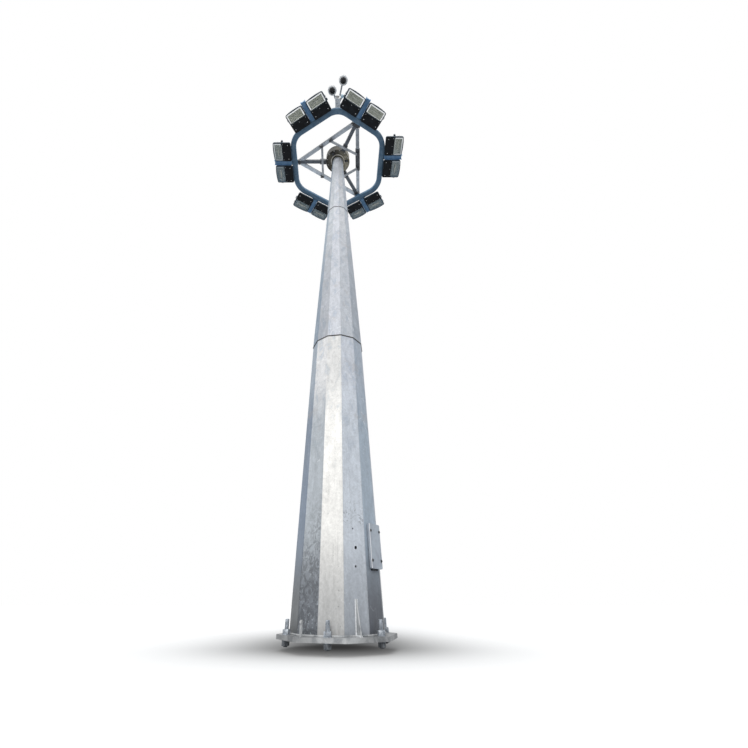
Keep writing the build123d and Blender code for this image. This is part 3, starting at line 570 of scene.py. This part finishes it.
finishOf = {
    "shaft": ["shaft_foot", "shaft_lower", "shaft_middle", "shaft_top"],
    "flange": ["base_flange"],
    "plate": ["base_gussets", "earthing_lugs", "door_frame"],
    "door": ["door_cover"],
    "tube": ["cross_bars", "camera_arms"],
    "chord": ["triangle_chords"],
    "arm": ["radial_arms"],
    "post": ["camera_post"],
    "slate": ["lamp_ring", "ring_saddles"],
    "bracket": ["lamp_brackets", "yoke_bars"],
    "drum": ["head_drum"],
    "collar": ["head_collar"],
    "dark": ["chord_cleats", "yoke_legs"],
    "sleeve": ["frame_sleeves"],
    "shell": ["dome_housings", "bullet_camera"],
    "sensor": ["light_sensor"],
    "gloss": ["dome_ball_right", "dome_ball_left"],
}
lampNodes = [nodeName for nodeName in nodes if nodeName.startswith("floodlight")]
finishOf["glass"] = [nodeName for nodeName in lampNodes if nodeName.endswith("glass")]
finishOf["lamp"] = [nodeName for nodeName in lampNodes if not nodeName.endswith("glass")]
for finishName, nodeNames in finishOf.items():
    for nodeName in nodeNames:
        nodes[nodeName].data.materials.clear()
        nodes[nodeName].data.materials.append(finishes[finishName].material)
print("finishes made:", len(finishes))


# Shapes

def at(x, y, z):
    return Matrix.Translation((x, y, z))


def turned(degrees, axis="Z"):
    return Matrix.Rotation(math.radians(degrees), 4, axis)


def fromAxes(x, y, z, origin):
    place = Matrix((x, y, z)).transposed().to_4x4()
    place.translation = origin
    return place


def looking(down, centre, ahead):
    # ahead of a centre along a view that dips this much, z along the view
    way = Vector((0, -math.cos(math.radians(down)), -math.sin(math.radians(down))))
    place = way.to_track_quat("Z", "Y").to_matrix().to_4x4()
    place.translation = centre + way * ahead
    return place


def zWay(place):
    return (place.to_3x3() @ Vector((0, 0, 1))).normalized()


def addBlock(mesh, size, place, soften=0.0):
    made = bmesh.ops.create_cube(mesh, size=1.0, matrix=place @ Matrix.Diagonal((*size, 1.0)))
    if soften:
        softenEdges(mesh, list({edge for vert in made["verts"] for edge in vert.link_edges}), soften)


def capEdges(made):
    # the edges round both ends of a rod
    edges = {edge for vert in made["verts"] for edge in vert.link_edges}
    return [edge for edge in edges if max(len(face.verts) for face in edge.link_faces) > 4]


def softenEdges(mesh, edges, offset, segments=2):
    bmesh.ops.bevel(
        mesh, geom=edges, offset=offset, segments=segments, profile=0.5, affect="EDGES", material=-1,
        clamp_overlap=True,
    )


def addRod(mesh, radius, length, place, segments=20, soften=0.0, tip=None):
    # stands on the place and rises along its z
    tip = radius if tip is None else tip
    made = bmesh.ops.create_cone(
        mesh, cap_ends=True, segments=segments, radius1=radius, radius2=tip, depth=length,
        matrix=place @ at(0, 0, length / 2),
    )
    if soften:
        softenEdges(mesh, capEdges(made), soften)


def addLine(mesh, profile, place):
    # a run of edges through points of (radius, height)
    verts = [mesh.verts.new(place @ Vector((radius, 0, height))) for radius, height in profile]
    return verts + [mesh.edges.new(pair) for pair in zip(verts, verts[1:])]


def addLathe(mesh, profile, place, steps):
    # turns a profile about the place's z
    line, axis, centre, near = addLine(mesh, profile, place), zWay(place), place.translation, 2e-4
    bmesh.ops.spin(mesh, geom=line, cent=centre, axis=axis, angle=2 * math.pi, steps=steps, use_merge=True)
    poles = [v for v in mesh.verts if (v.co - centre - axis * (v.co - centre).dot(axis)).length < near]
    bmesh.ops.remove_doubles(mesh, verts=poles, dist=near)


def addHoop(mesh, inner, outer, low, high, slope, place, steps):
    # a band round the place's z, with sloping edges
    profile = [(inner, low), (outer, low + slope), (outer, high - slope), (inner, high)]
    addLathe(mesh, profile, place, steps)


def addNut(mesh, size, place):
    # a nut or bolt head, on a washer where that has a size
    acrossFlats, height, washer = size
    washerHeight = height * 0.16 if washer else 0.0
    if washer:
        addRod(mesh, washer / 2, washerHeight, place, 28, height * 0.03)
    addRod(mesh, acrossFlats / math.sqrt(3), height, place @ at(0, 0, washerHeight), 6, acrossFlats * 0.05)


def addThread(mesh, radius, pitch, length, place, steps=18):
    # a helical thread round a core
    depth = pitch * 0.55
    addRod(mesh, radius - depth, length, place, steps)
    turns = int(length / pitch)
    points = [(radius - depth, 0.0), (radius, pitch * 0.45), (radius, pitch * 0.55), (radius - depth, pitch)]
    line, axis = addLine(mesh, points, place), zWay(place)
    bmesh.ops.spin(
        mesh, geom=line, cent=place.translation, axis=axis, dvec=axis * (pitch / steps),
        angle=2 * math.pi * (turns - 1), steps=steps * (turns - 1), use_merge=False,
    )


def walk(points, step, closed):
    # points an even step apart along a run of straight lines
    corners = [Vector(point) for point in points]
    pairs = list(zip(corners, corners[1:] + corners[:1])) if closed else list(zip(corners, corners[1:]))
    out = []
    for start, end in pairs:
        count = max(1, round((end - start).length / step))
        out += [start.lerp(end, index / count) for index in range(count)]
    return out if closed else out + [corners[-1]]


def addBead(mesh, points, radius, closed=True, ripple=0.16, segments=7, step=None):
    # a weld bead or a thin rod along a run of points
    route = walk(points, step or radius * 1.3, closed)
    loops = []
    for index, point in enumerate(route):
        ahead = route[(index + 1) % len(route)] if closed or index + 1 < len(route) else point
        behind = route[index - 1] if closed or index else point
        way = (ahead - behind).normalized()
        across = way.cross(Vector((0.31, 0.17, 0.93))).normalized()
        loopPlace = fromAxes(across, across.cross(way), way, point)
        size = radius * (1.0 + ripple * (-1) ** index)
        made = bmesh.ops.create_circle(mesh, cap_ends=False, segments=segments, radius=size, matrix=loopPlace)
        loops.append(list({edge for vert in made["verts"] for edge in vert.link_edges}))
    pairs = list(zip(loops, loops[1:]))
    if closed:
        pairs.append((loops[-1], loops[0]))
    for first, second in pairs:
        bmesh.ops.bridge_loops(mesh, edges=first + second)
    if not closed:
        bmesh.ops.holes_fill(mesh, edges=loops[0] + loops[-1], sides=segments)


def addBeadRound(mesh, place, halfWide, halfHigh, radius):
    # a bead round a rectangle, just off the place's x and y plane
    corners = [(-halfWide, -halfHigh), (halfWide, -halfHigh), (halfWide, halfHigh), (-halfWide, halfHigh)]
    addBead(mesh, [place @ Vector((x, y, 0.003)) for x, y in corners], radius)


def addFrame(mesh, size, cornerRadius, border, thick, place, soften):
    # a flat frame with round corners, growing along the place's z
    flat = bmesh.new()
    bmesh.ops.create_grid(flat, x_segments=1, y_segments=1, size=0.5, matrix=Matrix.Diagonal((*size, 1.0, 1.0)))
    bmesh.ops.bevel(
        flat, geom=flat.verts[:], offset=cornerRadius, segments=6, profile=0.5, affect="VERTICES", material=-1,
    )
    inner = flat.faces[:]
    bmesh.ops.inset_region(
        flat, faces=inner, thickness=border, depth=0.0, use_boundary=True, use_even_offset=True,
    )
    bmesh.ops.delete(flat, geom=inner, context="FACES_ONLY")
    grown = bmesh.ops.extrude_face_region(flat, geom=flat.faces[:] + flat.edges[:])
    verts = [item for item in grown["geom"] if isinstance(item, bmesh.types.BMVert)]
    bmesh.ops.translate(flat, vec=(0, 0, thick), verts=verts)
    softenEdges(flat, [edge for edge in flat.edges if edge.calc_face_angle(0.0) > 1.2], soften)
    bmesh.ops.recalc_face_normals(flat, faces=flat.faces)
    bmesh.ops.transform(flat, matrix=place, verts=flat.verts)
    data = bpy.data.meshes.new("joined")
    flat.to_mesh(data)
    flat.free()
    mesh.from_mesh(data)
    bpy.data.meshes.remove(data)


def finishPiece(mesh, name, finish, body="mast", sharp=34.0, place=None):
    # with a place, a copy goes there and the mesh stays for the next one
    made = mesh
    if place is not None:
        made = mesh.copy()
        bmesh.ops.transform(made, matrix=place, verts=made.verts)
    bmesh.ops.recalc_face_normals(made, faces=made.faces)
    for face in made.faces:
        face.smooth = True
    for edge in made.edges:
        edge.smooth = edge.calc_face_angle(0.0) < math.radians(sharp)
    data = bpy.data.meshes.new(name)
    made.to_mesh(data)
    made.free()
    data.materials.append(finishes[finish].material)
    piece = newObject(name, data)
    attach(piece, body)


# Places on the mast

def shaftSize(z):
    return mast["footSize"] + (mast["lap1Size"] - mast["footSize"]) * z / mast["lap1"]


def flatReach(z):
    return shaftSize(z) / 2 * math.cos(math.pi / mast["flats"])


def onFlat(bearing, z, off=0.0):
    # a place on a flat of the lower section: x along it, y up, z out of it
    lean = math.atan((flatReach(0.0) - flatReach(mast["lap1"])) / mast["lap1"])
    angle = math.radians(bearing)
    level = Vector((math.sin(angle), -math.cos(angle), 0))
    out = level * math.cos(lean) + Vector((0, 0, math.sin(lean)))
    along = Vector((math.cos(angle), math.sin(angle), 0))
    return fromAxes(along, out.cross(along), out, level * flatReach(z) + Vector((0, 0, z)) + along * off)


def cornersOf(reach, z):
    # the shaft's corners at one level
    angles = [math.radians(mast["turn"] + index * 360 / mast["flats"]) for index in range(mast["flats"])]
    return [(reach * math.cos(angle), reach * math.sin(angle), z) for angle in angles]


def station(heading, reach=0.0, side=0.0, z=0.0):
    # x out along the heading, y along the side of the ring, z up
    return turned(heading) @ at(reach, side, z)


# Nuts and bolt heads: across the flats, height, and the washer's width

bolts = {
    "anchor": (0.065, 0.032, 0.080), "earth": (0.019, 0.010, 0.026), "lock": (0.013, 0.006, 0.0),
    "doorEarth": (0.013, 0.008, 0.018), "plate": (0.030, 0.018, 0.0405),
    "saddle": (0.028, 0.016, 0.038), "sleeve": (0.026, 0.014, 0.036), "drum": (0.024, 0.014, 0.034),
    "clamp": (0.024, 0.013, 0.034), "gland": (0.030, 0.018, 0.038),
}


# Foot: anchor studs, nuts, welds and the bolts of the earthing lugs

foot = {
    "studs": 6, "studCircle": 0.53, "studTurn": 20.0, "studRadius": 0.021, "studTop": 0.137,
    "studBottom": -0.044, "tip": 0.006, "pitch": 0.0045, "bead": 0.008, "gussetBearings": (22.0, 202.0),
    "gussetHeight": 0.24, "gussetReach": 0.086, "gussetSide": 0.008, "gussetBead": 0.0075,
    "lugBearings": (-37.0, 143.0), "lugReach": 0.56, "lugUp": 0.091, "lugHalf": 0.005,
}

studs, nuts = bmesh.new(), bmesh.new()
threadLength = foot["studTop"] - foot["studBottom"] - foot["tip"]
for index in range(foot["studs"]):
    corner = station(foot["studTurn"] + index * 360 / foot["studs"], foot["studCircle"])
    addThread(studs, foot["studRadius"], foot["pitch"], threadLength, corner @ at(0, 0, foot["studBottom"]))
    tipPlace = corner @ at(0, 0, foot["studTop"] - foot["tip"])
    addRod(studs, foot["studRadius"] - 0.0005, foot["tip"], tipPlace, 18, tip=foot["studRadius"] - 0.003)
    above = corner @ at(0, 0, mast["flange"]) @ turned(index * 23.0)
    under = corner @ turned(180, "X") @ turned(index * 31.0)
    for nutPlace in (above, under):
        addNut(nuts, bolts["anchor"], nutPlace)
finishPiece(studs, "anchor_studs", "zincBolt", sharp=60.0)
finishPiece(nuts, "anchor_nuts", "zincBolt")

shaftWeld = bmesh.new()
addBead(shaftWeld, cornersOf(shaftSize(mast["flange"]) / 2 + 0.002, mast["flange"] + 0.004), foot["bead"])
finishPiece(shaftWeld, "shaft_foot_weld", "plate", sharp=70.0)
# welds along each gusset's joints, pale as painted highlight on the gusset edges
footWeldsAndHighlights = bmesh.new()
for bearing in foot["gussetBearings"]:
    face = onFlat(bearing, mast["flange"])
    for side in (-foot["gussetSide"], foot["gussetSide"]):
        foothold = face @ Vector((side, 0.004, 0.0))
        for end in ((side, foot["gussetHeight"], 0.002), (side, 0.003, foot["gussetReach"])):
            addBead(footWeldsAndHighlights, [foothold, face @ Vector(end)], foot["gussetBead"], False)
finishPiece(footWeldsAndHighlights, "foot_welds_and_highlights", "weld", sharp=70.0)

lugBolts = bmesh.new()
for bearing in foot["lugBearings"]:
    lugPlace = turned(bearing) @ at(0, -foot["lugReach"], mast["flange"] + foot["lugUp"]) @ turned(90, "X")
    for boltPlace in (lugPlace, lugPlace @ turned(180, "X")):
        addNut(lugBolts, bolts["earth"], boltPlace @ at(0, 0, foot["lugHalf"]))
finishPiece(lugBolts, "earth_bolts", "bolt")
print("foot made")


# Slip joints: a dark bead under the lip of each upper section, painted shade for the shadow line there

slip = {"lipDrop": 0.022, "sizes": {"lap1": 0.8835, "lap2": 0.6055}}
lipShades = bmesh.new()
for lapName, size in slip["sizes"].items():
    lip = cornersOf(size / 2, mast[lapName] - slip["lipDrop"] / 3)
    addBead(lipShades, lip, slip["lipDrop"] / 2, True, 0.05, 8, 0.05)
finishPiece(lipShades, "slip_joint_shade", "lipShade", sharp=60.0)
print("slip joints made")


# Service door: locks, a pale bead on the cover's edge as painted highlight, weld round the frame, earth stud
# below on a block that is also painted shade

door = {
    "bearing": 52.0, "level": 0.682, "off": 0.040, "proud": 0.038, "lockSide": 0.084, "lockUp": 0.124,
    "lockRadius": 0.0125, "lockHigh": 0.006, "edgeSide": -0.1, "edgeUp": (-0.186, 0.186),
    "edgeProud": 0.036, "edgeHighlight": 0.0042, "frameHalf": (0.082, 0.175), "frameBead": 0.005,
    "earth": (-0.02, -0.196), "earthShadeBlock": (0.105, 0.013, 0.022),
}
doorPlace = onFlat(door["bearing"], door["level"], door["off"])
locks = bmesh.new()
for side in (-1, 1):
    for up in (-1, 1):
        lockPlace = doorPlace @ at(side * door["lockSide"], up * door["lockUp"], door["proud"])
        addRod(locks, door["lockRadius"], door["lockHigh"], lockPlace, 24, 0.0015)
        addNut(locks, bolts["lock"], lockPlace @ at(0, 0, door["lockHigh"]))
finishPiece(locks, "door_locks", "dark", "door")
# painted highlight: a pale bead along the cover's edge
doorHighlight = bmesh.new()
edgeStart, edgeEnd = [doorPlace @ Vector((door["edgeSide"], up, door["edgeProud"])) for up in door["edgeUp"]]
addBead(doorHighlight, [edgeStart, edgeEnd], door["edgeHighlight"], False, 0.10, 8, 0.012)
finishPiece(doorHighlight, "door_edge_highlight", "weld", "door", 70.0)

doorWeld = bmesh.new()
addBeadRound(doorWeld, doorPlace, *door["frameHalf"], door["frameBead"])
finishPiece(doorWeld, "door_weld", "weld", sharp=70.0)

# an earth stud on a dark block, which is also painted shade for the gap under the cover
earth = bmesh.new()
earthPlace = doorPlace @ at(*door["earth"], 0.0)
addBlock(earth, door["earthShadeBlock"], earthPlace @ at(0, 0, door["earthShadeBlock"][2] / 2), 0.003)
addNut(earth, bolts["doorEarth"], earthPlace @ at(0.03, 0, door["earthShadeBlock"][2]))
finishPiece(earth, "door_earth_stud_and_shade", "dark")
print("door fittings made")


# Head: joint plates, bolts, welds and drum fittings

head = {
    "arms": (180.0, -64.0, 59.0), "armLevel": 12.15, "ringTop": 12.075,
    # heading, reach, length and width of each plate under the frame's joints
    "plates": ((180.0, 1.49, 0.09, 0.20), (-64.0, 1.47, 0.15, 0.34), (59.0, 1.49, 0.10, 0.22)),
    "plateThick": 0.016, "saddleHalf": (0.096, 0.091), "sleeveReach": 0.575, "sleeveHalf": 0.0805,
    "sleeveLevel": 12.21, "drumPlate": 12.230, "drumTop": 12.695, "drumBolts": 12,
    "drumBoltReach": 0.41,
    # inner radius, outer radius, bottom, top and slope of each hoop round the drum
    "hoops": ((0.4495, 0.4575, 12.172, 12.210, 0.004), (0.4495, 0.4555, 12.590, 12.616, 0.004)),
    "pulleys": (-4.0, 119.0, 238.0), "pulleyReach": 0.335, "pulleyLevel": 12.205,
}

jointPlates, headBolts, headWelds = bmesh.new(), bmesh.new(), bmesh.new()
for heading, reach, length, width in head["plates"]:
    platePlace = station(heading, reach, 0.0, head["armLevel"] - head["plateThick"] / 2)
    addBlock(jointPlates, (length, width, head["plateThick"]), platePlace, 0.003)
    for x in (-0.34 * length, 0.34 * length):
        for y in (-0.4 * width, 0.4 * width):
            spot = platePlace @ at(x, y, -head["plateThick"] / 2) @ turned(180, "X")
            addNut(headBolts, bolts["plate"], spot)
for heading in head["arms"]:
    reach = mast["ringApothem"] / math.cos(math.radians((heading + 30) % 60 - 30))
    saddle = station(heading, reach, 0.0, head["ringTop"])
    addBeadRound(headWelds, saddle, *head["saddleHalf"], 0.005)
    for side in (-1, 1):
        for x in (-0.055, 0.055):
            spot = saddle @ at(x, side * head["saddleHalf"][1], 0.040) @ turned(-90 * side, "X")
            addNut(headBolts, bolts["saddle"], spot)
        for x in (-0.085, 0.0, 0.085):
            sleeve = station(heading, head["sleeveReach"] + x, side * head["sleeveHalf"], head["sleeveLevel"])
            addNut(headBolts, bolts["sleeve"], sleeve @ turned(-90 * side, "X"))
finishPiece(jointPlates, "joint_plates", "dark")

drumFittings = bmesh.new()
addLathe(drumFittings, [
    (0.214, 12.228), (0.214, 12.118), (0.222, 12.112), (0.236, 12.112), (0.240, 12.120), (0.240, 12.228)],
    at(0, 0, 0), 48)
for index in range(head["drumBolts"]):
    heading = index * 360 / head["drumBolts"] + 10
    spot = station(heading, head["drumBoltReach"], 0.0, head["drumPlate"]) @ turned(180, "X")
    addNut(headBolts, bolts["drum"], spot)
for heading in (30.0, 150.0, 270.0):
    addBlock(drumFittings, (0.10, 0.014, 0.11), station(heading, 0.30, 0.0, head["drumTop"] - 0.030), 0.004)
for hoop in head["hoops"]:
    addHoop(drumFittings, *hoop, at(0, 0, 0), 72)
finishPiece(drumFittings, "drum_fittings", "drum")

pulleys = bmesh.new()
for heading in head["pulleys"]:
    box = station(heading, head["pulleyReach"], 0.0, head["pulleyLevel"])
    addBlock(pulleys, (0.11, 0.075, 0.050), box, 0.006)
    addLathe(pulleys, [(0.0, -0.012), (0.040, -0.012), (0.034, 0.0), (0.040, 0.012), (0.0, 0.012)],
             box @ at(0, 0, -0.028) @ turned(90, "X"), 28)
finishPiece(pulleys, "drum_pulleys", "dark")


# Ring: bracket welds, end caps, side sheets, webs and clamp bolts

bracket = {
    "shift": (-0.290, -0.140, 0.060, 0.080, 0.020, -0.195), "wide": 0.140, "high": 0.160, "low": 0.032,
    "reach": 2.385, "pivotReach": 2.056, "boltSide": 0.036, "capSize": (0.006, 0.152, 0.172),
    "sheetSize": (0.640, 0.0065, 0.196), "sheetAt": (0.350, 0.074, -0.054),
    "webSize": (0.085, 0.058, 0.010), "webAt": (0.045, 0.100),
}

bracketEnds = bmesh.new()
meet = mast["ringApothem"] + mast["ringWidth"] / 2
level = mast["ring"] - bracket["low"]
halfWide, halfHigh = bracket["wide"] / 2, bracket["high"] / 2
outward = Matrix(((0, 0, 1), (1, 0, 0), (0, 1, 0))).to_4x4()
for index, shift in enumerate(bracket["shift"]):
    spine = station(index * 60.0, 0.0, shift, level)
    addBeadRound(headWelds, spine @ at(meet, 0, 0) @ outward, halfWide, halfHigh, 0.0055)
    addBlock(bracketEnds, bracket["capSize"], spine @ at(bracket["reach"] + 0.003, 0, 0), 0.002)
    for y in (-bracket["boltSide"], bracket["boltSide"]):
        top = spine @ at(bracket["pivotReach"], y, halfHigh + 0.010)
        low = spine @ at(bracket["pivotReach"], y, -halfHigh) @ turned(180, "X")
        for boltPlace in (top, low):
            addNut(bracketEnds, bolts["clamp"], boltPlace)
    for hand in (-1, 1):
        # a sheet between bracket and lamp, and a web where the bracket meets the ring
        along, across, up = bracket["sheetAt"]
        sheet = spine @ at(meet + along, hand * across, bracket["low"] + up)
        addBlock(bracketEnds, bracket["sheetSize"], sheet, 0.002)
        along, across = bracket["webAt"]
        web = spine @ at(meet + along, hand * across, bracket["low"])
        addBlock(bracketEnds, bracket["webSize"], web, 0.003)
finishPiece(bracketEnds, "bracket_ends", "bracket")
finishPiece(headBolts, "head_bolts", "bolt")
finishPiece(headWelds, "head_welds", "slate", sharp=70.0)
print("head and ring fittings made")


# Floodlights, made once about the pivot: x along the pivot line, y away from the mast, window down

lamp = {
    "front": -0.114, "windowY": 0.144, "window": (0.570, 0.292), "bezel": (0.592, 0.302),
    "bezelWidth": 0.036, "bezelCut": 0.018, "bezelThick": 0.007, "gearFace": -0.134,
    # x, y and size of each screw of the gear cover
    "screws": (
        (-0.245, -0.225, 0.016), (0.245, -0.225, 0.016), (0.0, -0.075, 0.010), (-0.27, -0.055, 0.010),
        (0.27, -0.055, 0.010)),
    "trayLow": -0.1015, "trayRise": 0.068, "bulbLevel": -0.072, "side": 0.332,
    "latch": (0.028, 0.070, 0.034), "latchAt": (0.13, -0.088), "glandAt": (0.19, -0.215, 0.060),
}


def lampBezel():
    mesh = bmesh.new()
    place = at(0, lamp["windowY"] - 0.002, lamp["front"]) @ turned(180, "X")
    addFrame(mesh, lamp["bezel"], 0.034, lamp["bezelWidth"], lamp["bezelThick"], place, 0.002)
    # the gear cover hides most of the bar on its side
    cut = bmesh.ops.bisect_plane(
        mesh, geom=mesh.verts[:] + mesh.edges[:] + mesh.faces[:], dist=1e-5,
        plane_co=(0, lamp["bezelCut"], 0), plane_no=(0, -1, 0), clear_outer=True,
    )
    rimEdges = [item for item in cut["geom_cut"] if isinstance(item, bmesh.types.BMEdge)]
    bmesh.ops.holes_fill(mesh, edges=rimEdges, sides=0)
    return mesh


def lampReflector():
    # a folded tray: sloping sides up to a ridged back
    mesh = bmesh.new()
    wide, long = lamp["window"][0] - 0.006, lamp["window"][1] - 0.006
    place = at(0, lamp["windowY"], 0) @ Matrix.Diagonal((wide, long, 1.0, 1.0))
    bmesh.ops.create_grid(mesh, x_segments=18, y_segments=10, size=0.5, matrix=place)
    for vert in mesh.verts:
        u = abs(vert.co.x) / (wide / 2)
        v = abs(vert.co.y - lamp["windowY"]) / (long / 2)
        rise = min(1.0, (1.0 - u) / 0.28, (1.0 - v) / 0.55)
        vert.co.z = lamp["trayLow"] + lamp["trayRise"] * math.sin(rise * math.pi / 2)
    bmesh.ops.solidify(mesh, geom=mesh.faces[:], thickness=0.0015)
    return mesh


def lampBulb():
    # discharge lamp across the window, in two ceramic holders
    mesh = bmesh.new()
    middle = at(0, lamp["windowY"], lamp["bulbLevel"])
    addLathe(mesh, [
        (0.0, -0.105), (0.010, -0.104), (0.013, -0.085), (0.020, -0.055), (0.023, 0.0), (0.020, 0.055),
        (0.013, 0.085), (0.010, 0.104), (0.0, 0.105)], middle @ turned(90, "Y"), 24)
    for x in (-0.128, 0.128):
        addRod(mesh, 0.017, 0.05, middle @ at(x - 0.025, 0, 0) @ turned(90, "Y"), 20, 0.003)
        addBlock(mesh, (0.030, 0.022, 0.040), middle @ at(x, 0, 0.030), 0.003)
    return mesh


def lampFittings(outer):
    # screws of the gear cover, latch at the outer side, gland at the back
    mesh = bmesh.new()
    for x, y, size in lamp["screws"]:
        addNut(mesh, (size, size / 2, size * 1.6), at(x, y, lamp["gearFace"]) @ turned(180, "X"))
    wide, long, high = lamp["latch"]
    latch = at(outer * (lamp["side"] + wide / 2), *lamp["latchAt"])
    addBlock(mesh, (wide, long, high), latch, 0.003)
    addRod(mesh, 0.006, 0.082, latch @ at(outer * wide * 0.2, -0.041, 0.012) @ turned(-90, "X"), 14, 0.001)
    gland = at(*lamp["glandAt"])
    addNut(mesh, bolts["gland"], gland)
    addRod(mesh, 0.011, 0.030, gland @ at(0, 0, 0.020), 18, 0.003)
    return mesh


bezelMesh, reflectorMesh, bulbMesh = lampBezel(), lampReflector(), lampBulb()
fittingMeshes = {side: lampFittings(side) for side in (-1, 1)}
for number in range(1, 13):
    lampName = f"floodlight_{number:02d}"
    tilt = joints[lampName + "_tilt"]
    axis = Vector(tilt["axis"])
    place = fromAxes(axis, Vector((-axis.y, axis.x, 0)), Vector((0, 0, 1)), Vector(tilt["pos_m"]))
    fittingMesh = fittingMeshes[1 if number % 2 else -1]
    finishPiece(bezelMesh, lampName + "_bezel", "bezel", lampName, 34.0, place)
    finishPiece(reflectorMesh, lampName + "_reflector", "reflector", lampName, 50.0, place)
    finishPiece(bulbMesh, lampName + "_bulb", "ceramic", lampName, 40.0, place)
    finishPiece(fittingMesh, lampName + "_fittings", "bolt", lampName, 34.0, place)
print("floodlights dressed")


# Cameras: lens parts, trim rings, post fittings

cluster = {
    "post": (0.0, -1.8005), "postBolt": (0.068, 0.014), "postBands": (0.12, 0.30, 0.50),
    "conduit": (-0.078, 0.010, 0.54), "clipAt": -0.066,
    "domes": {"right": (0.185, -2.61), "left": (-0.190, -2.32)}, "capLow": 12.457, "lensDrop": 0.095,
    "lensAhead": 0.078, "lensDown": 38.0, "bullet": (0.0, -1.947, 12.42), "bulletAhead": 0.215,
    "bulletDown": 20.0,
}

postPlace = at(*cluster["post"], head["ringTop"])
postFittings, conduit = bmesh.new(), bmesh.new()
boltSide, boltUp = cluster["postBolt"]
for x in (-boltSide, boltSide):
    for y in (-boltSide, boltSide):
        addNut(postFittings, bolts["clamp"], postPlace @ at(x, y, boltUp))
tubeSide, tubeLow, tubeTop = cluster["conduit"]
tubeEnds = [postPlace @ Vector((tubeSide, 0.0, up)) for up in (tubeLow, tubeTop)]
addBead(conduit, tubeEnds, 0.011, False, 0.0, 12, 0.06)
for up in cluster["postBands"]:
    addHoop(postFittings, 0.0545, 0.0575, up - 0.011, up + 0.011, 0.003, postPlace, 32)
    addBlock(conduit, (0.030, 0.022, 0.016), postPlace @ at(cluster["clipAt"], 0, up), 0.003)
finishPiece(postFittings, "post_fittings", "bolt")
finishPiece(conduit, "post_conduit", "dark")

for side, (x, y) in cluster["domes"].items():
    capPlace = at(x, y, cluster["capLow"])
    trim = bmesh.new()
    addLathe(trim, [(0.1435, -0.016), (0.1495, -0.013), (0.1505, 0.004), (0.1435, 0.010)], capPlace, 56)
    addLathe(trim, [(0.1040, -0.0695), (0.1050, -0.0760), (0.1380, -0.0760), (0.1440, -0.0695)], capPlace, 56)
    finishPiece(trim, f"dome_trim_{side}", "shell")
    lensCentre = Vector((x, y, cluster["capLow"] - cluster["lensDrop"]))
    lensPlace = looking(cluster["lensDown"], lensCentre, cluster["lensAhead"])
    lens = bmesh.new()
    addLathe(lens, [
        (0.031, 0.000), (0.031, 0.010), (0.026, 0.012), (0.022, 0.006), (0.018, 0.003), (0.0, 0.006)],
        lensPlace, 40)
    finishPiece(lens, f"dome_lens_{side}", "gloss", f"dome_{side}")

bulletPlace = looking(cluster["bulletDown"], Vector(cluster["bullet"]), cluster["bulletAhead"])
bulletParts = bmesh.new()
addLathe(bulletParts, [
    (0.0, 0.004), (0.034, 0.003), (0.040, 0.012), (0.052, 0.012), (0.054, 0.0), (0.050, -0.010)],
    bulletPlace, 40)
finishPiece(bulletParts, "bullet_lens", "gloss")
print("cameras dressed")
